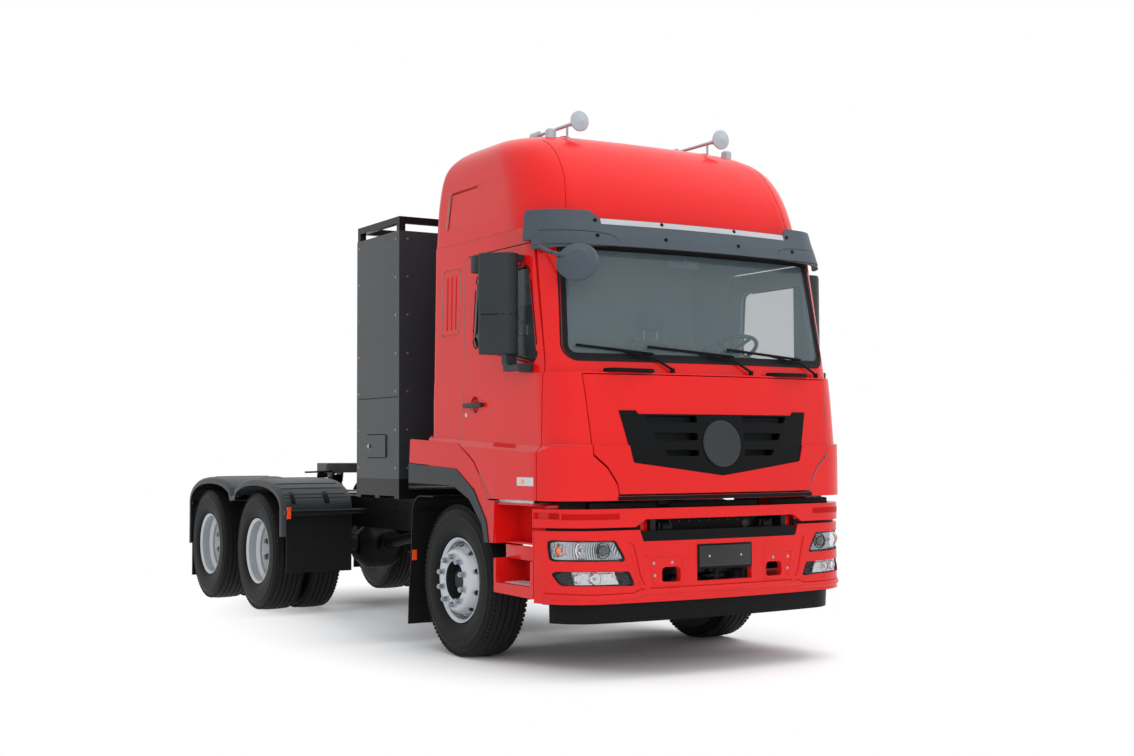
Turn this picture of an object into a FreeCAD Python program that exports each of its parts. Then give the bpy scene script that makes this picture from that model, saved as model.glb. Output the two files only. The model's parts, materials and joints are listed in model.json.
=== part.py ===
# Tractor unit of an articulated truck: tilt cab, ladder frame, one steered axle and a driven tandem.
# Millimetres. +X is forward, +Y is the left side, +Z is up, and the ground is at Z = 0.
# Every X below is measured from the front axle. save() moves the whole truck along X,
# so that the origin lies on the ground under the middle of its length.

import FreeCAD
import Part
import math
import os

V = FreeCAD.Vector
X_AXIS = V(1, 0, 0)
Y_AXIS = V(0, 1, 0)
Z_AXIS = V(0, 0, 1)

# Axles and overall length
WHEELBASE = 3870
TANDEM_SPACING = 1350
FRONT_OVERHANG = 1570
REAR_OVERHANG = 580
OVERALL_LENGTH = FRONT_OVERHANG + WHEELBASE + TANDEM_SPACING + REAR_OVERHANG
ORIGIN_SHIFT = OVERALL_LENGTH / 2 - FRONT_OVERHANG
REAR_AXLE_X = (-WHEELBASE, -WHEELBASE - TANDEM_SPACING)
BOGIE_X = -WHEELBASE - TANDEM_SPACING / 2
TAIL_X = -WHEELBASE - TANDEM_SPACING - REAR_OVERHANG

# Wheels and tyres
TYRE_RADIUS = 540
TYRE_WIDTH = 300
TYRE_TREAD_WIDTH = 236
BEAD_RADIUS = 285
RIM_FLANGE_RADIUS = 298.5
RIM_WIDTH = 254
RIM_THICKNESS = 9
WELL_MIDDLE = -15
AXLE_Z = TYRE_RADIUS
FRONT_RIM_FACE_Y = 1145
REAR_RIM_FACE_Y = 1206
DUAL_SPACING = 345
HUB_PILOT_RADIUS = 140
NUT_CIRCLE_RADIUS = 167.5
NUT_COUNT = 10
HAND_HOLES = 10
DISC_THICKNESS = 12
FRONT_DISC_BULGE = 80

# Steering
KINGPIN_Y = 850
KINGPIN_RADIUS = 24
SPINDLE_RADIUS = 46
REAR_SPINDLE_RADIUS = 60
STEER_ARM_LENGTH = 210
TIE_ROD_Z = 440
TIE_ROD_RADIUS = 22
STEERING_WHEEL_X = 920
STEERING_WHEEL_Y = 550
STEERING_WHEEL_Z = 2150
STEERING_TILT = 28
STUD_RADIUS = 14
FRONT_AXLE_DROP = 110
SPRING_SEAT_Z = AXLE_Z + 110

# Frame
RAIL_OUTER_Y = 430
RAIL_TOP_Z = 1045
RAIL_HEIGHT = 280
RAIL_FLANGE = 85
RAIL_THICKNESS = 12
RAIL_FRONT_X = 1330
RAIL_REAR_X = TAIL_X + 60
CROSSMEMBER_X = (620, -300, -1150, -2560, -3100, -4020, -5080)

# Cab body
TILT_PIVOT_X = 1450
TILT_PIVOT_Z = 945
TILT_PIN_RADIUS = 25
CAB_REAR_X = -360
CAB_BOTTOM_Z = 1130
ARCH_HEAD_Z = 1273
CAB_WALL = 45
ROOF_WALL = 38
CAB_HALF_WIDTH = 1190
LEDGE_HALF_WIDTH = 1240
LEDGE_REAR_Z = 1560
LEDGE_FRONT_Z = 1470
LEDGE_SLOPE = 45
CROWN_RADIUS = 6700
CORNER_RADIUS = 280
COWL_TOP_Z = 1950
CAB_SIDE_TOP_Z = 2915
PANEL_GAP = 6
FLAP_TOP_Z = COWL_TOP_Z - 16
FLAP_REAR_X = 1411

# Door
DOOR_REAR_X = 165
DOOR_FRONT_X = 1222
DOOR_TOP_Z = 2800
DOOR_BOTTOM_Z = 1125
DOOR_GAP = 8
DOOR_STEP = 8
DOOR_HINGE_Y = -1238
DOOR_INNER_Y = CAB_HALF_WIDTH - CAB_WALL - 25
GLASS_THICKNESS = 8
MIRROR_OUTER_Y = -1452

# Rack with the battery behind the cab
RACK_FRONT_X = -865
RACK_REAR_X = -1645
RACK_HALF_WIDTH = 1200
RACK_PANEL_BOTTOM_Z = 1240
RACK_PANEL_TOP_Z = 3130
RACK_TOP_Z = 3240
RACK_BASE_Z = 1090
RACK_TUBE = 50
RACK_SHEET = 4

# Coupling
FIFTH_X = -4120
FIFTH_TOP_Z = 1340
FIFTH_PIVOT_Z = 1190
FIFTH_PEDESTAL_Y = 330
FIFTH_PIN_RADIUS = 24
KINGPIN_LOCK_RADIUS = 25.4

# Rear fenders
FENDER_TOP_Z = 1205
FENDER_WALL = 6
FENDER_INNER_Y = 575
FENDER_OUTER_Y = 1240

# Roof horns
HORN_Y = 612
HORN_BELL_X = 785
HORN_Z = 3720


def box(x0, x1, y0, y1, z0, z1):
    return Part.makeBox(x1 - x0, y1 - y0, z1 - z0, V(x0, y0, z0))


def slab(x0, x1, y0, y1, z0, z1):
    """A box whose sides may be given in either order."""
    return box(min(x0, x1), max(x0, x1), min(y0, y1), max(y0, y1), z0, z1)


def rod(start, end, radius):
    axis = V(*end) - V(*start)
    return Part.makeCylinder(radius, axis.Length, V(*start), axis)


def fuse(shapes):
    shapes = list(shapes)
    if len(shapes) == 1:
        return shapes[0]
    return shapes[0].multiFuse(shapes[1:]).removeSplitter()


def group(shapes):
    return Part.makeCompound(list(shapes))


def mirrored(shape):
    return shape.mirror(V(0, 0, 0), Y_AXIS)


def both_sides(shape):
    return group([shape, mirrored(shape)])


def rounded_outline(points, place):
    """A closed wire. Each point is (u, v) or (u, v, corner radius), and place(u, v) gives its vector."""
    count = len(points)
    edges = []
    ends = []
    for i, point in enumerate(points):
        radius = point[2] if len(point) > 2 else 0
        here = V(point[0], point[1], 0)
        before = V(points[i - 1][0], points[i - 1][1], 0) - here
        after = V(points[(i + 1) % count][0], points[(i + 1) % count][1], 0) - here
        if not radius:
            ends.append((here, None, here))
            continue
        before.normalize()
        after.normalize()
        half = before.getAngle(after) / 2
        setback = radius / math.tan(half)
        bisector = (before + after).normalize()
        middle = here + bisector * (radius / math.sin(half) - radius)
        ends.append((here + before * setback, middle, here + after * setback))
    for i, (start, middle, end) in enumerate(ends):
        if middle is not None:
            edges.append(Part.Arc(place(start.x, start.y), place(middle.x, middle.y), place(end.x, end.y)).toShape())
        following = ends[(i + 1) % count][0]
        if (following - end).Length > 0.01:
            edges.append(Part.makeLine(place(end.x, end.y), place(following.x, following.y)))
    return Part.Wire(edges)


def side_prism(points, y0, y1):
    wire = rounded_outline(points, lambda x, z: V(x, y0, z))
    return Part.Face(wire).extrude(V(0, y1 - y0, 0))


def plan_prism(points, z0, z1):
    wire = rounded_outline(points, lambda x, y: V(x, y, z0))
    return Part.Face(wire).extrude(V(0, 0, z1 - z0))


def front_prism(points, x0, x1):
    wire = rounded_outline(points, lambda y, z: V(x0, y, z))
    return Part.Face(wire).extrude(V(x1 - x0, 0, 0))


def revolved(points, centre, axis):
    """A turned piece. Points are (radius, distance along the axis)."""
    wire = rounded_outline(points, lambda r, a: V(centre[0] + r, centre[1] + a, centre[2]))
    turned = Part.Face(wire).revolve(V(*centre), Y_AXIS, 360)
    if axis == Z_AXIS:
        turned.rotate(V(*centre), X_AXIS, 90)
    if axis == X_AXIS:
        turned.rotate(V(*centre), Z_AXIS, -90)
    return turned


def round_pattern(shape, centre, axis, count):
    return [shape.rotated(V(*centre), axis, 360 * i / count) for i in range(count)]


def save(name, shape):
    moved = shape.copy()
    moved.translate(V(ORIGIN_SHIFT, 0, 0))
    moved.exportStep("parts/" + name + ".step")


def plan_section(front, rear, half_width, front_radius, rear_radius, z):
    """Plan outline of a cab slice: crowned front, rounded corners, flat sides and back."""
    def crown(y):
        return front - y * y / (2 * CROWN_RADIUS)

    yc = half_width - front_radius
    xc = crown(yc) - front_radius
    slant = math.asin(yc / CROWN_RADIUS)
    lead = V(xc + front_radius * math.cos(slant), yc + front_radius * math.sin(slant), z)
    middle_angle = (slant + math.pi / 2) / 2
    bend = V(xc + front_radius * math.cos(middle_angle), yc + front_radius * math.sin(middle_angle), z)
    side = V(xc, half_width, z)
    nose = V(lead.x + (lead.y ** 2) / (2 * CROWN_RADIUS), 0, z)
    rear_side = V(rear + rear_radius, half_width, z)
    rear_turn = rear_radius * (1 - math.sqrt(0.5))
    rear_bend = V(rear + rear_turn, half_width - rear_turn, z)
    rear_end = V(rear, half_width - rear_radius, z)

    def flip(point):
        return V(point.x, -point.y, point.z)

    edges = [
        Part.Arc(flip(lead), nose, lead).toShape(),
        Part.Arc(lead, bend, side).toShape(),
        Part.makeLine(side, rear_side),
        Part.Arc(rear_side, rear_bend, rear_end).toShape(),
        Part.makeLine(rear_end, flip(rear_end)),
        Part.Arc(flip(rear_end), flip(rear_bend), flip(rear_side)).toShape(),
        Part.makeLine(flip(rear_side), flip(side)),
        Part.Arc(flip(side), flip(bend), flip(lead)).toShape(),
    ]
    return Part.Wire(edges)


def plan_loft(levels, inset=0, ruled=True):
    """A body through plan slices. Each level is (z, front, rear, half width, front corner, rear corner)."""
    wires = []
    for z, front, rear, half_width, front_radius, rear_radius in levels:
        wires.append(plan_section(front - inset, rear + inset, half_width - inset,
                                  front_radius - inset * 0.6, max(rear_radius - inset, 20), z))
    return Part.makeLoft(wires, True, ruled)


# The cab's outer form at its levels: height, front at the centre line, half width, front corner radius
COWL_LEVELS = ((CAB_BOTTOM_Z, 1552, 1196, 300), (1450, 1547, 1196, 285), (1800, 1511, 1196, 280), (COWL_TOP_Z, 1491, 1192, 275))
SCREEN_LEVELS = ((COWL_TOP_Z - 10, 1434, 1190, 225), (CAB_SIDE_TOP_Z, 1256, 1176, 225))
ROOF_LEVELS = (
    (CAB_SIDE_TOP_Z, 1205, 1180, 340, 110),
    (3090, 1172, 1173, 355, 120),
    (3250, 1112, 1162, 360, 130),
    (3400, 1018, 1146, 365, 150),
    (3490, 935, 1122, 370, 170),
    (3555, 850, 1076, 375, 200),
    (3600, 765, 1008, 375, 220),
    (3632, 650, 890, 350, 240),
    (3650, 440, 640, 290, 200),
)
ROOF_REAR_SET = (0, 0, 0, 8, 30, 75, 135, 230, 420)


def cowl_form(inset=0, top=0):
    levels = [(z, front, CAB_REAR_X, half_width, radius, 90) for z, front, half_width, radius in COWL_LEVELS]
    return plan_loft(levels, inset)


def screen_form(inset=0):
    levels = [(z, front, CAB_REAR_X, half_width, radius, 90) for z, front, half_width, radius in SCREEN_LEVELS]
    return plan_loft(levels, inset)


def ledge_form():
    """The wider lower body, with its sloping shoulder that falls towards the front."""
    fall = (LEDGE_REAR_Z - LEDGE_FRONT_Z) / (COWL_LEVELS[0][1] - CAB_REAR_X)
    half = LEDGE_HALF_WIDTH
    levels = []
    for z in (COWL_LEVELS[0][0], LEDGE_REAR_Z):
        levels.append((z, COWL_LEVELS[0][1] + 6, CAB_REAR_X, half, 330, 90))
    body = plan_loft(levels)
    front_x = COWL_LEVELS[0][1] + 100
    rear_x = CAB_REAR_X - 100
    shoulder_rise = LEDGE_HALF_WIDTH - CAB_HALF_WIDTH
    top_cut = []
    for side in (1, -1):
        roof = [(0, LEDGE_REAR_Z + 200), (side * (half + 50), LEDGE_REAR_Z + 200),
                (side * (half + 50), LEDGE_REAR_Z - LEDGE_SLOPE - shoulder_rise),
                (side * (CAB_HALF_WIDTH - 10), LEDGE_REAR_Z + 8),
                (0, LEDGE_REAR_Z + 8)]
        cutter = front_prism(roof, rear_x, front_x)
        tilt = math.degrees(math.atan(fall))
        cutter.rotate(V(CAB_REAR_X, 0, LEDGE_REAR_Z), Y_AXIS, tilt)
        top_cut.append(cutter)
    return body.cut(fuse(top_cut))


def cab_outer():
    lower = cowl_form()
    return fuse([lower, screen_form(), ledge_form()])


def cab_interior():
    """The room inside the cab. Its floor steps up over the wheel arches."""
    side_y = CAB_HALF_WIDTH - CAB_WALL
    rear = CAB_REAR_X + CAB_WALL
    levels = [
        (CAB_BOTTOM_Z + CAB_WALL, 1360, rear, side_y, 180, 60),
        (COWL_TOP_Z + 60, 1360, rear, side_y, 180, 60),
        (CAB_SIDE_TOP_Z + 5, 1190, rear, side_y - 14, 180, 60),
    ]
    return plan_loft(levels).cut(wheel_arch_cut(CAB_WALL))


def screen_opening():
    half_bottom = 1085
    half_top = 1040
    outline = [(-half_bottom, 2035, 90), (half_bottom, 2035, 90), (half_top, 2800, 70), (-half_top, 2800, 70)]
    return front_prism(outline, 900, 1700)


def windscreen():
    levels = [(z, front, CAB_REAR_X, half_width, radius, 90) for z, front, half_width, radius in SCREEN_LEVELS]
    skin = plan_loft(levels, 12).cut(plan_loft(levels, 12 + GLASS_THICKNESS))
    return skin.common(screen_opening().common(box(900, 1700, -1300, 1300, 1960, 2900)))


def door_outline(grow=0):
    """Door seen from the side. The rear lower corner is cut by the wheel arch."""
    return [
        (DOOR_REAR_X - grow, 1505, 20), (DOOR_REAR_X - grow, DOOR_TOP_Z + grow, 90),
        (1085 + grow, DOOR_TOP_Z + grow, 60), (DOOR_FRONT_X + grow, 2010, 200),
        (DOOR_FRONT_X + grow, DOOR_BOTTOM_Z - grow, 12),
        (640 - grow, DOOR_BOTTOM_Z - grow, 12), (400 - grow, 1385 - grow, 150), (300 - grow, 1440 - grow, 60)]


WINDOW_OUTLINE = [(300, 2168, 60), (345, 2655, 70), (1040, 2655, 60), (1160, 2014, 40)]


def door_solid(outer, room):
    """The right door, as thick as the wall. Its inner part is stepped in, so that it clears the frame as it opens."""
    inner_y = -CAB_HALF_WIDTH + CAB_WALL
    skin = side_prism(door_outline(), -1400, inner_y - 20)
    skin = skin.cut(box(0, 1300, DOOR_HINGE_Y + 33, inner_y, 1100, 1480))
    core = side_prism(door_outline(-DOOR_STEP), -1400, -DOOR_INNER_Y)
    core = core.cut(box(0, 1300, inner_y, inner_y + 30, 1100, CAB_BOTTOM_Z + CAB_WALL))
    window = side_prism(WINDOW_OUTLINE, -1400, -1000)
    door = outer.common(fuse([skin, core])).cut(room).cut(window)
    cup = Part.makeSphere(60, V(335, -CAB_HALF_WIDTH - 14, 1765))
    return door.cut(cup)


def door_glass():
    grown = side_prism([(x, z) for x, z, r in WINDOW_OUTLINE], -1400, -1000)
    levels = [(z, front, CAB_REAR_X, half_width, radius, 90) for z, front, half_width, radius in SCREEN_LEVELS]
    levels[0] = (2000,) + levels[0][1:]
    window = side_prism(WINDOW_OUTLINE, -1400, -1000)
    skin = plan_loft(levels, 20).cut(plan_loft(levels, 20 + GLASS_THICKNESS))
    return skin.common(window)


def door_handle():
    grip = fuse([
        rod((235, -CAB_HALF_WIDTH - 24, 1765), (435, -CAB_HALF_WIDTH - 24, 1765), 13),
        rod((250, -CAB_HALF_WIDTH + 10, 1765), (250, -CAB_HALF_WIDTH - 24, 1765), 10),
        rod((420, -CAB_HALF_WIDTH + 10, 1765), (420, -CAB_HALF_WIDTH - 24, 1765), 10)])
    return grip


def side_y(z):
    """Half width of the cab beside its side windows, at a height."""
    (z0, front0, half0, radius0), (z1, front1, half1, radius1) = SCREEN_LEVELS
    return half0 + (half1 - half0) * (z - z0) / (z1 - z0)


def door_mirror():
    """Mirror on the right door: a tall shell, rounded towards the front and outside, on two arms."""
    plan = [(850, -1215, 15), (1015, -1215, 60), (1010, -1330, 90), (880, MIRROR_OUTER_Y, 30),
            (850, MIRROR_OUTER_Y, 10)]
    housing = plan_prism(plan, 2075, 2740)
    top = front_prism([(-1290, 2690), (-1290, 2730), (-side_y(2730), 2730), (-side_y(2690), 2690)], 920, 995)
    elbow = box(905, 975, -1310, -1230, 2010, 2085)
    reach = box(905, 1120, -1300, -1235, 1965, 2010)
    block = front_prism([(-1250, 1955), (-1250, 2010), (-side_y(2010), 2010), (-side_y(1955), 1955)], 1040, 1120)
    return fuse([housing, top, elbow, reach, block])


def kerb_mirror():
    """Small mirror behind the main one that looks down on the kerb."""
    plan = [(700, -1290, 30), (850, -1290, 30), (820, MIRROR_OUTER_Y, 40), (730, MIRROR_OUTER_Y, 40)]
    bowl = plan_prism(plan, 2620, 2735)
    arm = rod((800, -1330, 2720), (960, -1330, 2720), 12)
    return fuse([bowl, arm])


def front_mirror():
    """Round mirror in front of the windscreen's right corner, on a bent stem from the visor's end."""
    centre = (1472, -1075, 2650)
    bowl = revolved([(0, -38), (60, -34), (120, -10), (138, 18, 6), (132, 34), (0, 34)], centre, Y_AXIS)
    bowl.rotate(V(*centre), Z_AXIS, 50)
    bowl.rotate(V(*centre), V(0.64, 0.77, 0), -25)
    stem = rod((1210, -1200, 2760), (1370, -1195, 2700), 13)
    reach = rod((1370, -1195, 2700), (1450, -1110, 2670), 13)
    return fuse([bowl, stem, reach])


def flap_outline(gap=0):
    """Front service panel, seen from the front. Lower corners are rounded into the cowl sides."""
    low = 2 * gap
    half = [(1003 + gap, FLAP_TOP_Z + gap), (965 + gap, 1425 - low), (870 + gap, 1345 - low, 60),
            (800 + gap, 1240 - low, 90), (790 + gap, 1170 - low)]
    left = [(-y, z) + tuple(r) for y, z, *r in reversed(half)]
    return half + left


GRILLE_OUTLINE = [(-773, 1705), (-652, 1705), (-632, 1682), (632, 1682), (652, 1705), (773, 1705),
                  (689, 1369, 20), (0, 1280), (-689, 1369, 20)]


def front_flap(outer, service_room):
    panel = outer.common(front_prism(flap_outline(), FLAP_REAR_X, 1700)).cut(service_room)
    window = front_prism(GRILLE_OUTLINE, 1380, 1700)
    return panel.cut(window)


def grille():
    """Grille panel that fills the opening in the front flap, with three slots at each side."""
    skin = cowl_form(-4).cut(cowl_form(30))
    frame = skin.common(front_prism(GRILLE_OUTLINE, 1380, 1700))
    openings = []
    for top, bottom, half in ((1672, 1628, 560), (1560, 1512, 500), (1450, 1410, 430)):
        for side in (1, -1):
            outline = [(side * half, bottom, 6), (side * (half + 25), top, 6), (side * 190, top, 6),
                       (side * 190, bottom, 6)]
            openings.append(front_prism(outline, 1350, 1700))
    return frame.cut(fuse(openings))


def roof_levels():
    levels = []
    for (z, front, half_width, front_radius, rear_radius), set_in in zip(ROOF_LEVELS, ROOF_REAR_SET):
        levels.append((z, front, CAB_REAR_X + set_in, half_width, front_radius, rear_radius))
    return levels


def roof_form():
    return plan_loft(roof_levels(), 0, False)


def roof_recess():
    """Shallow panel pressed into the roof's right side, deepest at its rear and fading out towards the front."""
    deepest = V(-120, -1156, 3160)
    outline = [(-137, 3027, 30), (-110, 3297, 30), (830, 3300), (890, 3010)]
    cutter = side_prism(outline, -1300, deepest.y)
    cutter.rotate(deepest, Z_AXIS, -0.9)
    cutter.rotate(deepest, X_AXIS, -3.9)
    return cutter


def vent_groove():
    """Groove round the pressed vent panel behind the right door."""
    depth = 7
    low = V(0, -side_y(2260) + depth, 2260)
    outer = [(-190, 2260, 40), (-180, 2740, 40), (110, 2740, 40), (80, 2260, 40)]
    inner = [(-176, 2274, 30), (-166, 2726, 30), (95, 2726, 30), (67, 2274, 30)]
    groove = side_prism(outer, -1300, low.y).cut(side_prism(inner, -1310, low.y + 10))
    groove.rotate(low, X_AXIS, -0.8)
    return groove


def roof_cap():
    """High roof moulding, open underneath."""
    levels = roof_levels()
    inner_levels = [levels[0]] + [(z - ROOF_WALL,) + tuple(rest) for z, *rest in levels[1:]]
    return roof_form().cut(plan_loft(inner_levels, ROOF_WALL)).cut(both_sides(roof_recess()))


def visor():
    """Sun visor over the windscreen: a crowned band with taller ends that wrap onto the cab's sides."""
    levels = [(2780, 1388, 500, 1215, 300, 90), (2850, 1362, 500, 1212, 300, 90), (2968, 1308, 500, 1205, 290, 90)]
    band = plan_loft(levels).cut(plan_loft(levels, 22))
    tall = [(2750, 1392, 500, 1216, 300, 90), (3020, 1290, 500, 1205, 290, 90)]
    tall_inside = [(2750, 1370, 500, 1194, 287, 90), (3020, 1268, 500, 1183, 277, 90)]
    ends = plan_loft(tall).cut(plan_loft(tall_inside))
    pieces = [band]
    for side in (1, -1):
        ear = [(side * 640, 2785), (side * 1300, 2745), (side * 1300, 3015, 10), (side * 830, 3018, 30),
               (side * 770, 2960, 30)]
        pieces.append(ends.common(front_prism(ear, 700, 1500)))
    wrap = fuse(pieces).common(box(1020, 1500, -1300, 1300, 2700, 3100))
    wrap = wrap.cut(box(1000, 1110, -1300, 1300, 2700, DOOR_TOP_Z + 2 * DOOR_GAP))
    brackets = [box(1180, 1300, side * 600 - 25, side * 600 + 25, 2880, 2910) for side in (1, -1)]
    return fuse([wrap] + brackets)


def wheel_arch_cut(gap=0):
    """Space over the front wheel, seen from the side, cut right through the lower cab."""
    head = ARCH_HEAD_Z + gap
    outline = [(-900, 300), (-900, head), (60, head, 150), (420 + gap, 1193 + gap, 170),
               (645 + gap, 897 + gap, 60), (660 + gap, 300)]
    return side_prism(outline, -1400, 1400)


def arch_flare():
    """Painted flare round the wheel arch that runs into the step well under the door."""
    outline = [(-600, 1365), (-585, 1540, 15), (150, 1505), (300, 1440, 60), (400, 1385, 150), (600, 1119),
               (690, 1119), (672, 838), (618, 838), (590, 980, 60), (410, 1190, 120), (150, 1330, 120)]
    skin = side_prism(outline, -LEDGE_HALF_WIDTH - 2, -LEDGE_HALF_WIDTH + 10)
    back = box(672, 1170, -1040, -1030, 838, CAB_BOTTOM_Z)
    tread = box(672, 1170, -1225, -1030, 1095, 1108)
    rear_cheek = box(660, 690, -1235, -1030, 838, 1119)
    floor = box(672, 1165, -1150, -1030, 838, 850)
    return fuse([skin, back, tread, rear_cheek, floor]).cut(side_prism(door_outline(DOOR_GAP), -1400, -1000))


def arch_trim():
    outline = [(-600, 1218), (-600, 1360), (148, 1325, 120), (406, 1185, 120), (586, 975, 60), (614, 837),
               (560, 837), (520, 960, 60), (345, 1120, 120), (100, 1210, 100)]
    return side_prism(outline, -LEDGE_HALF_WIDTH - 8, -LEDGE_HALF_WIDTH + 60)


def lower_step():
    outer = side_prism([(672, 515, 10), (672, 742, 20), (1185, 742, 8), (1185, 505, 10)], -1238, -960)
    well = box(700, 1150, -1300, -1010, 580, 735)
    open_top = box(700, 1150, -1300, -1010, 700, 800)
    return outer.cut(well).cut(open_top)


# The lamps wrap round the bumper's corners to here
LAMP_REAR_X = 1290


def lamp_outlines(side):
    """Head lamp and fog lamp openings in the bumper, seen from the front."""
    head = [(side * 1190, 752, 20), (side * 1200, 886, 20), (side * 830, 880, 60), (side * 748, 745, 15)]
    fog = [(side * 1150, 600, 40), (side * 1195, 690, 20), (side * 735, 682, 10), (side * 688, 590, 10)]
    return head, fog


def bumper_form(levels, wall):
    return plan_loft(levels).cut(plan_loft(levels, wall))


def bumper_levels(z0, z1, proud=0):
    front = FRONT_OVERHANG - 2 + proud
    half = LEDGE_HALF_WIDTH + proud
    return [(z0, front, 300, half, 390, 90), (z1, front - 2, 300, half, 390, 90)]


def bumper():
    """Painted main bumper with its lamp and pocket openings, and the returns that close its ends."""
    wrap = bumper_form(bumper_levels(482, 942), 42).common(box(1190, 1700, -1300, 1300, 482, 942))
    cutters = []
    for side in (1, -1):
        for outline in lamp_outlines(side):
            cutters.append(front_prism(outline, LAMP_REAR_X, 1700))
        pocket = [(side * 353, 604, 20), (side * 353, 700, 30), (side * 494, 700, 30), (side * 494, 604, 20)]
        cutters.append(front_prism(pocket, LAMP_REAR_X, 1700))
    cutters.append(front_prism([(-225, 600, 8), (-225, 680, 8), (225, 680, 8), (225, 600, 8)], 1400, 1700))
    cutters.append(front_prism([(-651, 934), (651, 934), (628, 868, 15), (-628, 868, 15)], 1400, 1700))
    cutters.append(box(1400, 1700, -651, 651, 930, 960))
    returns = [slab(1182, 1192, side * 1046, side * 1238, 760, 942) for side in (1, -1)]
    return fuse([wrap.cut(fuse(cutters))] + returns)


def bumper_bar():
    """Painted upper bar over the bumper, lower at its ends, with a slot at each side."""
    wrap = bumper_form(bumper_levels(961, 1078, 2), 46).common(box(1190, 1700, -1300, 1300, 961, 1078))
    middle = front_prism([(-720, 940), (-607, 1009, 20), (607, 1009, 20), (720, 940)], 1300, 1700)
    slots = [box(1190, 1480, side * 1210 - 60, side * 1210 + 60, 1016, 1056).cut(
        plan_loft(bumper_levels(1000, 1070), 20)) for side in (1, -1)]
    returns = [slab(1182, 1192, side * 1046, side * 1238, 961, 1078) for side in (1, -1)]
    return fuse([wrap.cut(middle).cut(fuse(slots))] + returns)


def bumper_lip():
    lip = bumper_form(bumper_levels(868, 934, -3), 40).common(
        front_prism([(-648, 934), (648, 934), (626, 868, 15), (-626, 868, 15)], 1400, 1700))
    return lip


def valance():
    """Dark skirt under the bumper, hung from a flange against the bumper's lower edge."""
    skirt = bumper_form([(352, 1490, 300, 1150, 300, 90), (482, 1500, 300, 1150, 300, 90)], 12)
    flange = bumper_form([(474, 1536, 300, 1210, 380, 90), (482, 1536, 300, 1210, 380, 90)], 60)
    return fuse([skirt, flange]).common(box(1220, 1700, -1210, 1210, 352, 482))


def lamp_units():
    lamps = []
    for side in (1, -1):
        for outline, proud in zip(lamp_outlines(side), (-4, -8)):
            lens = bumper_form(bumper_levels(482, 942, proud), 50)
            lamps.append(lens.common(front_prism(outline, LAMP_REAR_X, 1700)))
    return group(lamps)


def front_beam(carried):
    """Beam across the frame's ends with the cab's tilt pivots, the bumper's arms and the stays of the steps."""
    pieces = [box(RAIL_FRONT_X, 1440, -560, 560, 790, 880), box(1340, 1420, -960, 960, 640, 760)]
    steps = []
    for side in (1, -1):
        for y in (372, 462):
            pieces.append(slab(RAIL_FRONT_X, 1484, side * (y - 8), side * (y + 8), 790, TILT_PIVOT_Z + 35))
        pieces.append(slab(1200, 1500, side * 640, side * 720, 640, 860))
        pieces.append(slab(1340, 1500, side * 520, side * 640, 800, 860))
        pieces.append(slab(1340, 1520, side * 520, side * 560, 840, 1050))
        pieces.append(slab(1180, 1345, side * RAIL_OUTER_Y, side * (RAIL_OUTER_Y + 12), 640, 930))
        pieces.append(rod((TILT_PIVOT_X, side * 355, TILT_PIVOT_Z), (TILT_PIVOT_X, side * 479, TILT_PIVOT_Z),
                          TILT_PIN_RADIUS))
        plate = slab(880, 980, side * RAIL_OUTER_Y, side * (RAIL_OUTER_Y + 12), 580, 900)
        stay = rod((930, side * RAIL_OUTER_Y, 620), (930, side * 960, 620), 28)
        steps.append(fuse([plate, stay]))
    return group([fuse(pieces).cut(carried)] + steps)


def cab_hinge_arms():
    """Arms under the cab floor that turn on the tilt pins."""
    arms = []
    half = 31
    for side in (1, -1):
        outline = [(TILT_PIVOT_X - 48, TILT_PIVOT_Z, 20), (TILT_PIVOT_X, TILT_PIVOT_Z - 45, 30),
                   (TILT_PIVOT_X + 45, TILT_PIVOT_Z, 30), (TILT_PIVOT_X - 22, 1012, 20), (1375, 1056, 10),
                   (1366, CAB_BOTTOM_Z), (1180, CAB_BOTTOM_Z), (1180, 1058, 10), (1330, 1058, 10),
                   (1342, 1036, 10), (1352, 985, 20)]
        y = side * 417
        arm = side_prism(outline, y - half, y + half)
        eye = rod((TILT_PIVOT_X, y - half, TILT_PIVOT_Z), (TILT_PIVOT_X, y + half, TILT_PIVOT_Z), 50)
        bore = rod((TILT_PIVOT_X, y - 40, TILT_PIVOT_Z), (TILT_PIVOT_X, y + 40, TILT_PIVOT_Z),
                   TILT_PIN_RADIUS + 0.5)
        arms.append(fuse([arm, eye]).cut(bore))
    return group(arms)


def frame_rail():
    profile = [(RAIL_OUTER_Y, RAIL_TOP_Z - RAIL_HEIGHT), (RAIL_OUTER_Y, RAIL_TOP_Z),
               (RAIL_OUTER_Y - RAIL_FLANGE, RAIL_TOP_Z), (RAIL_OUTER_Y - RAIL_FLANGE, RAIL_TOP_Z - RAIL_THICKNESS),
               (RAIL_OUTER_Y - RAIL_THICKNESS, RAIL_TOP_Z - RAIL_THICKNESS),
               (RAIL_OUTER_Y - RAIL_THICKNESS, RAIL_TOP_Z - RAIL_HEIGHT + RAIL_THICKNESS),
               (RAIL_OUTER_Y - RAIL_FLANGE, RAIL_TOP_Z - RAIL_HEIGHT + RAIL_THICKNESS),
               (RAIL_OUTER_Y - RAIL_FLANGE, RAIL_TOP_Z - RAIL_HEIGHT)]
    return front_prism(profile, RAIL_REAR_X, RAIL_FRONT_X)


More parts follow.
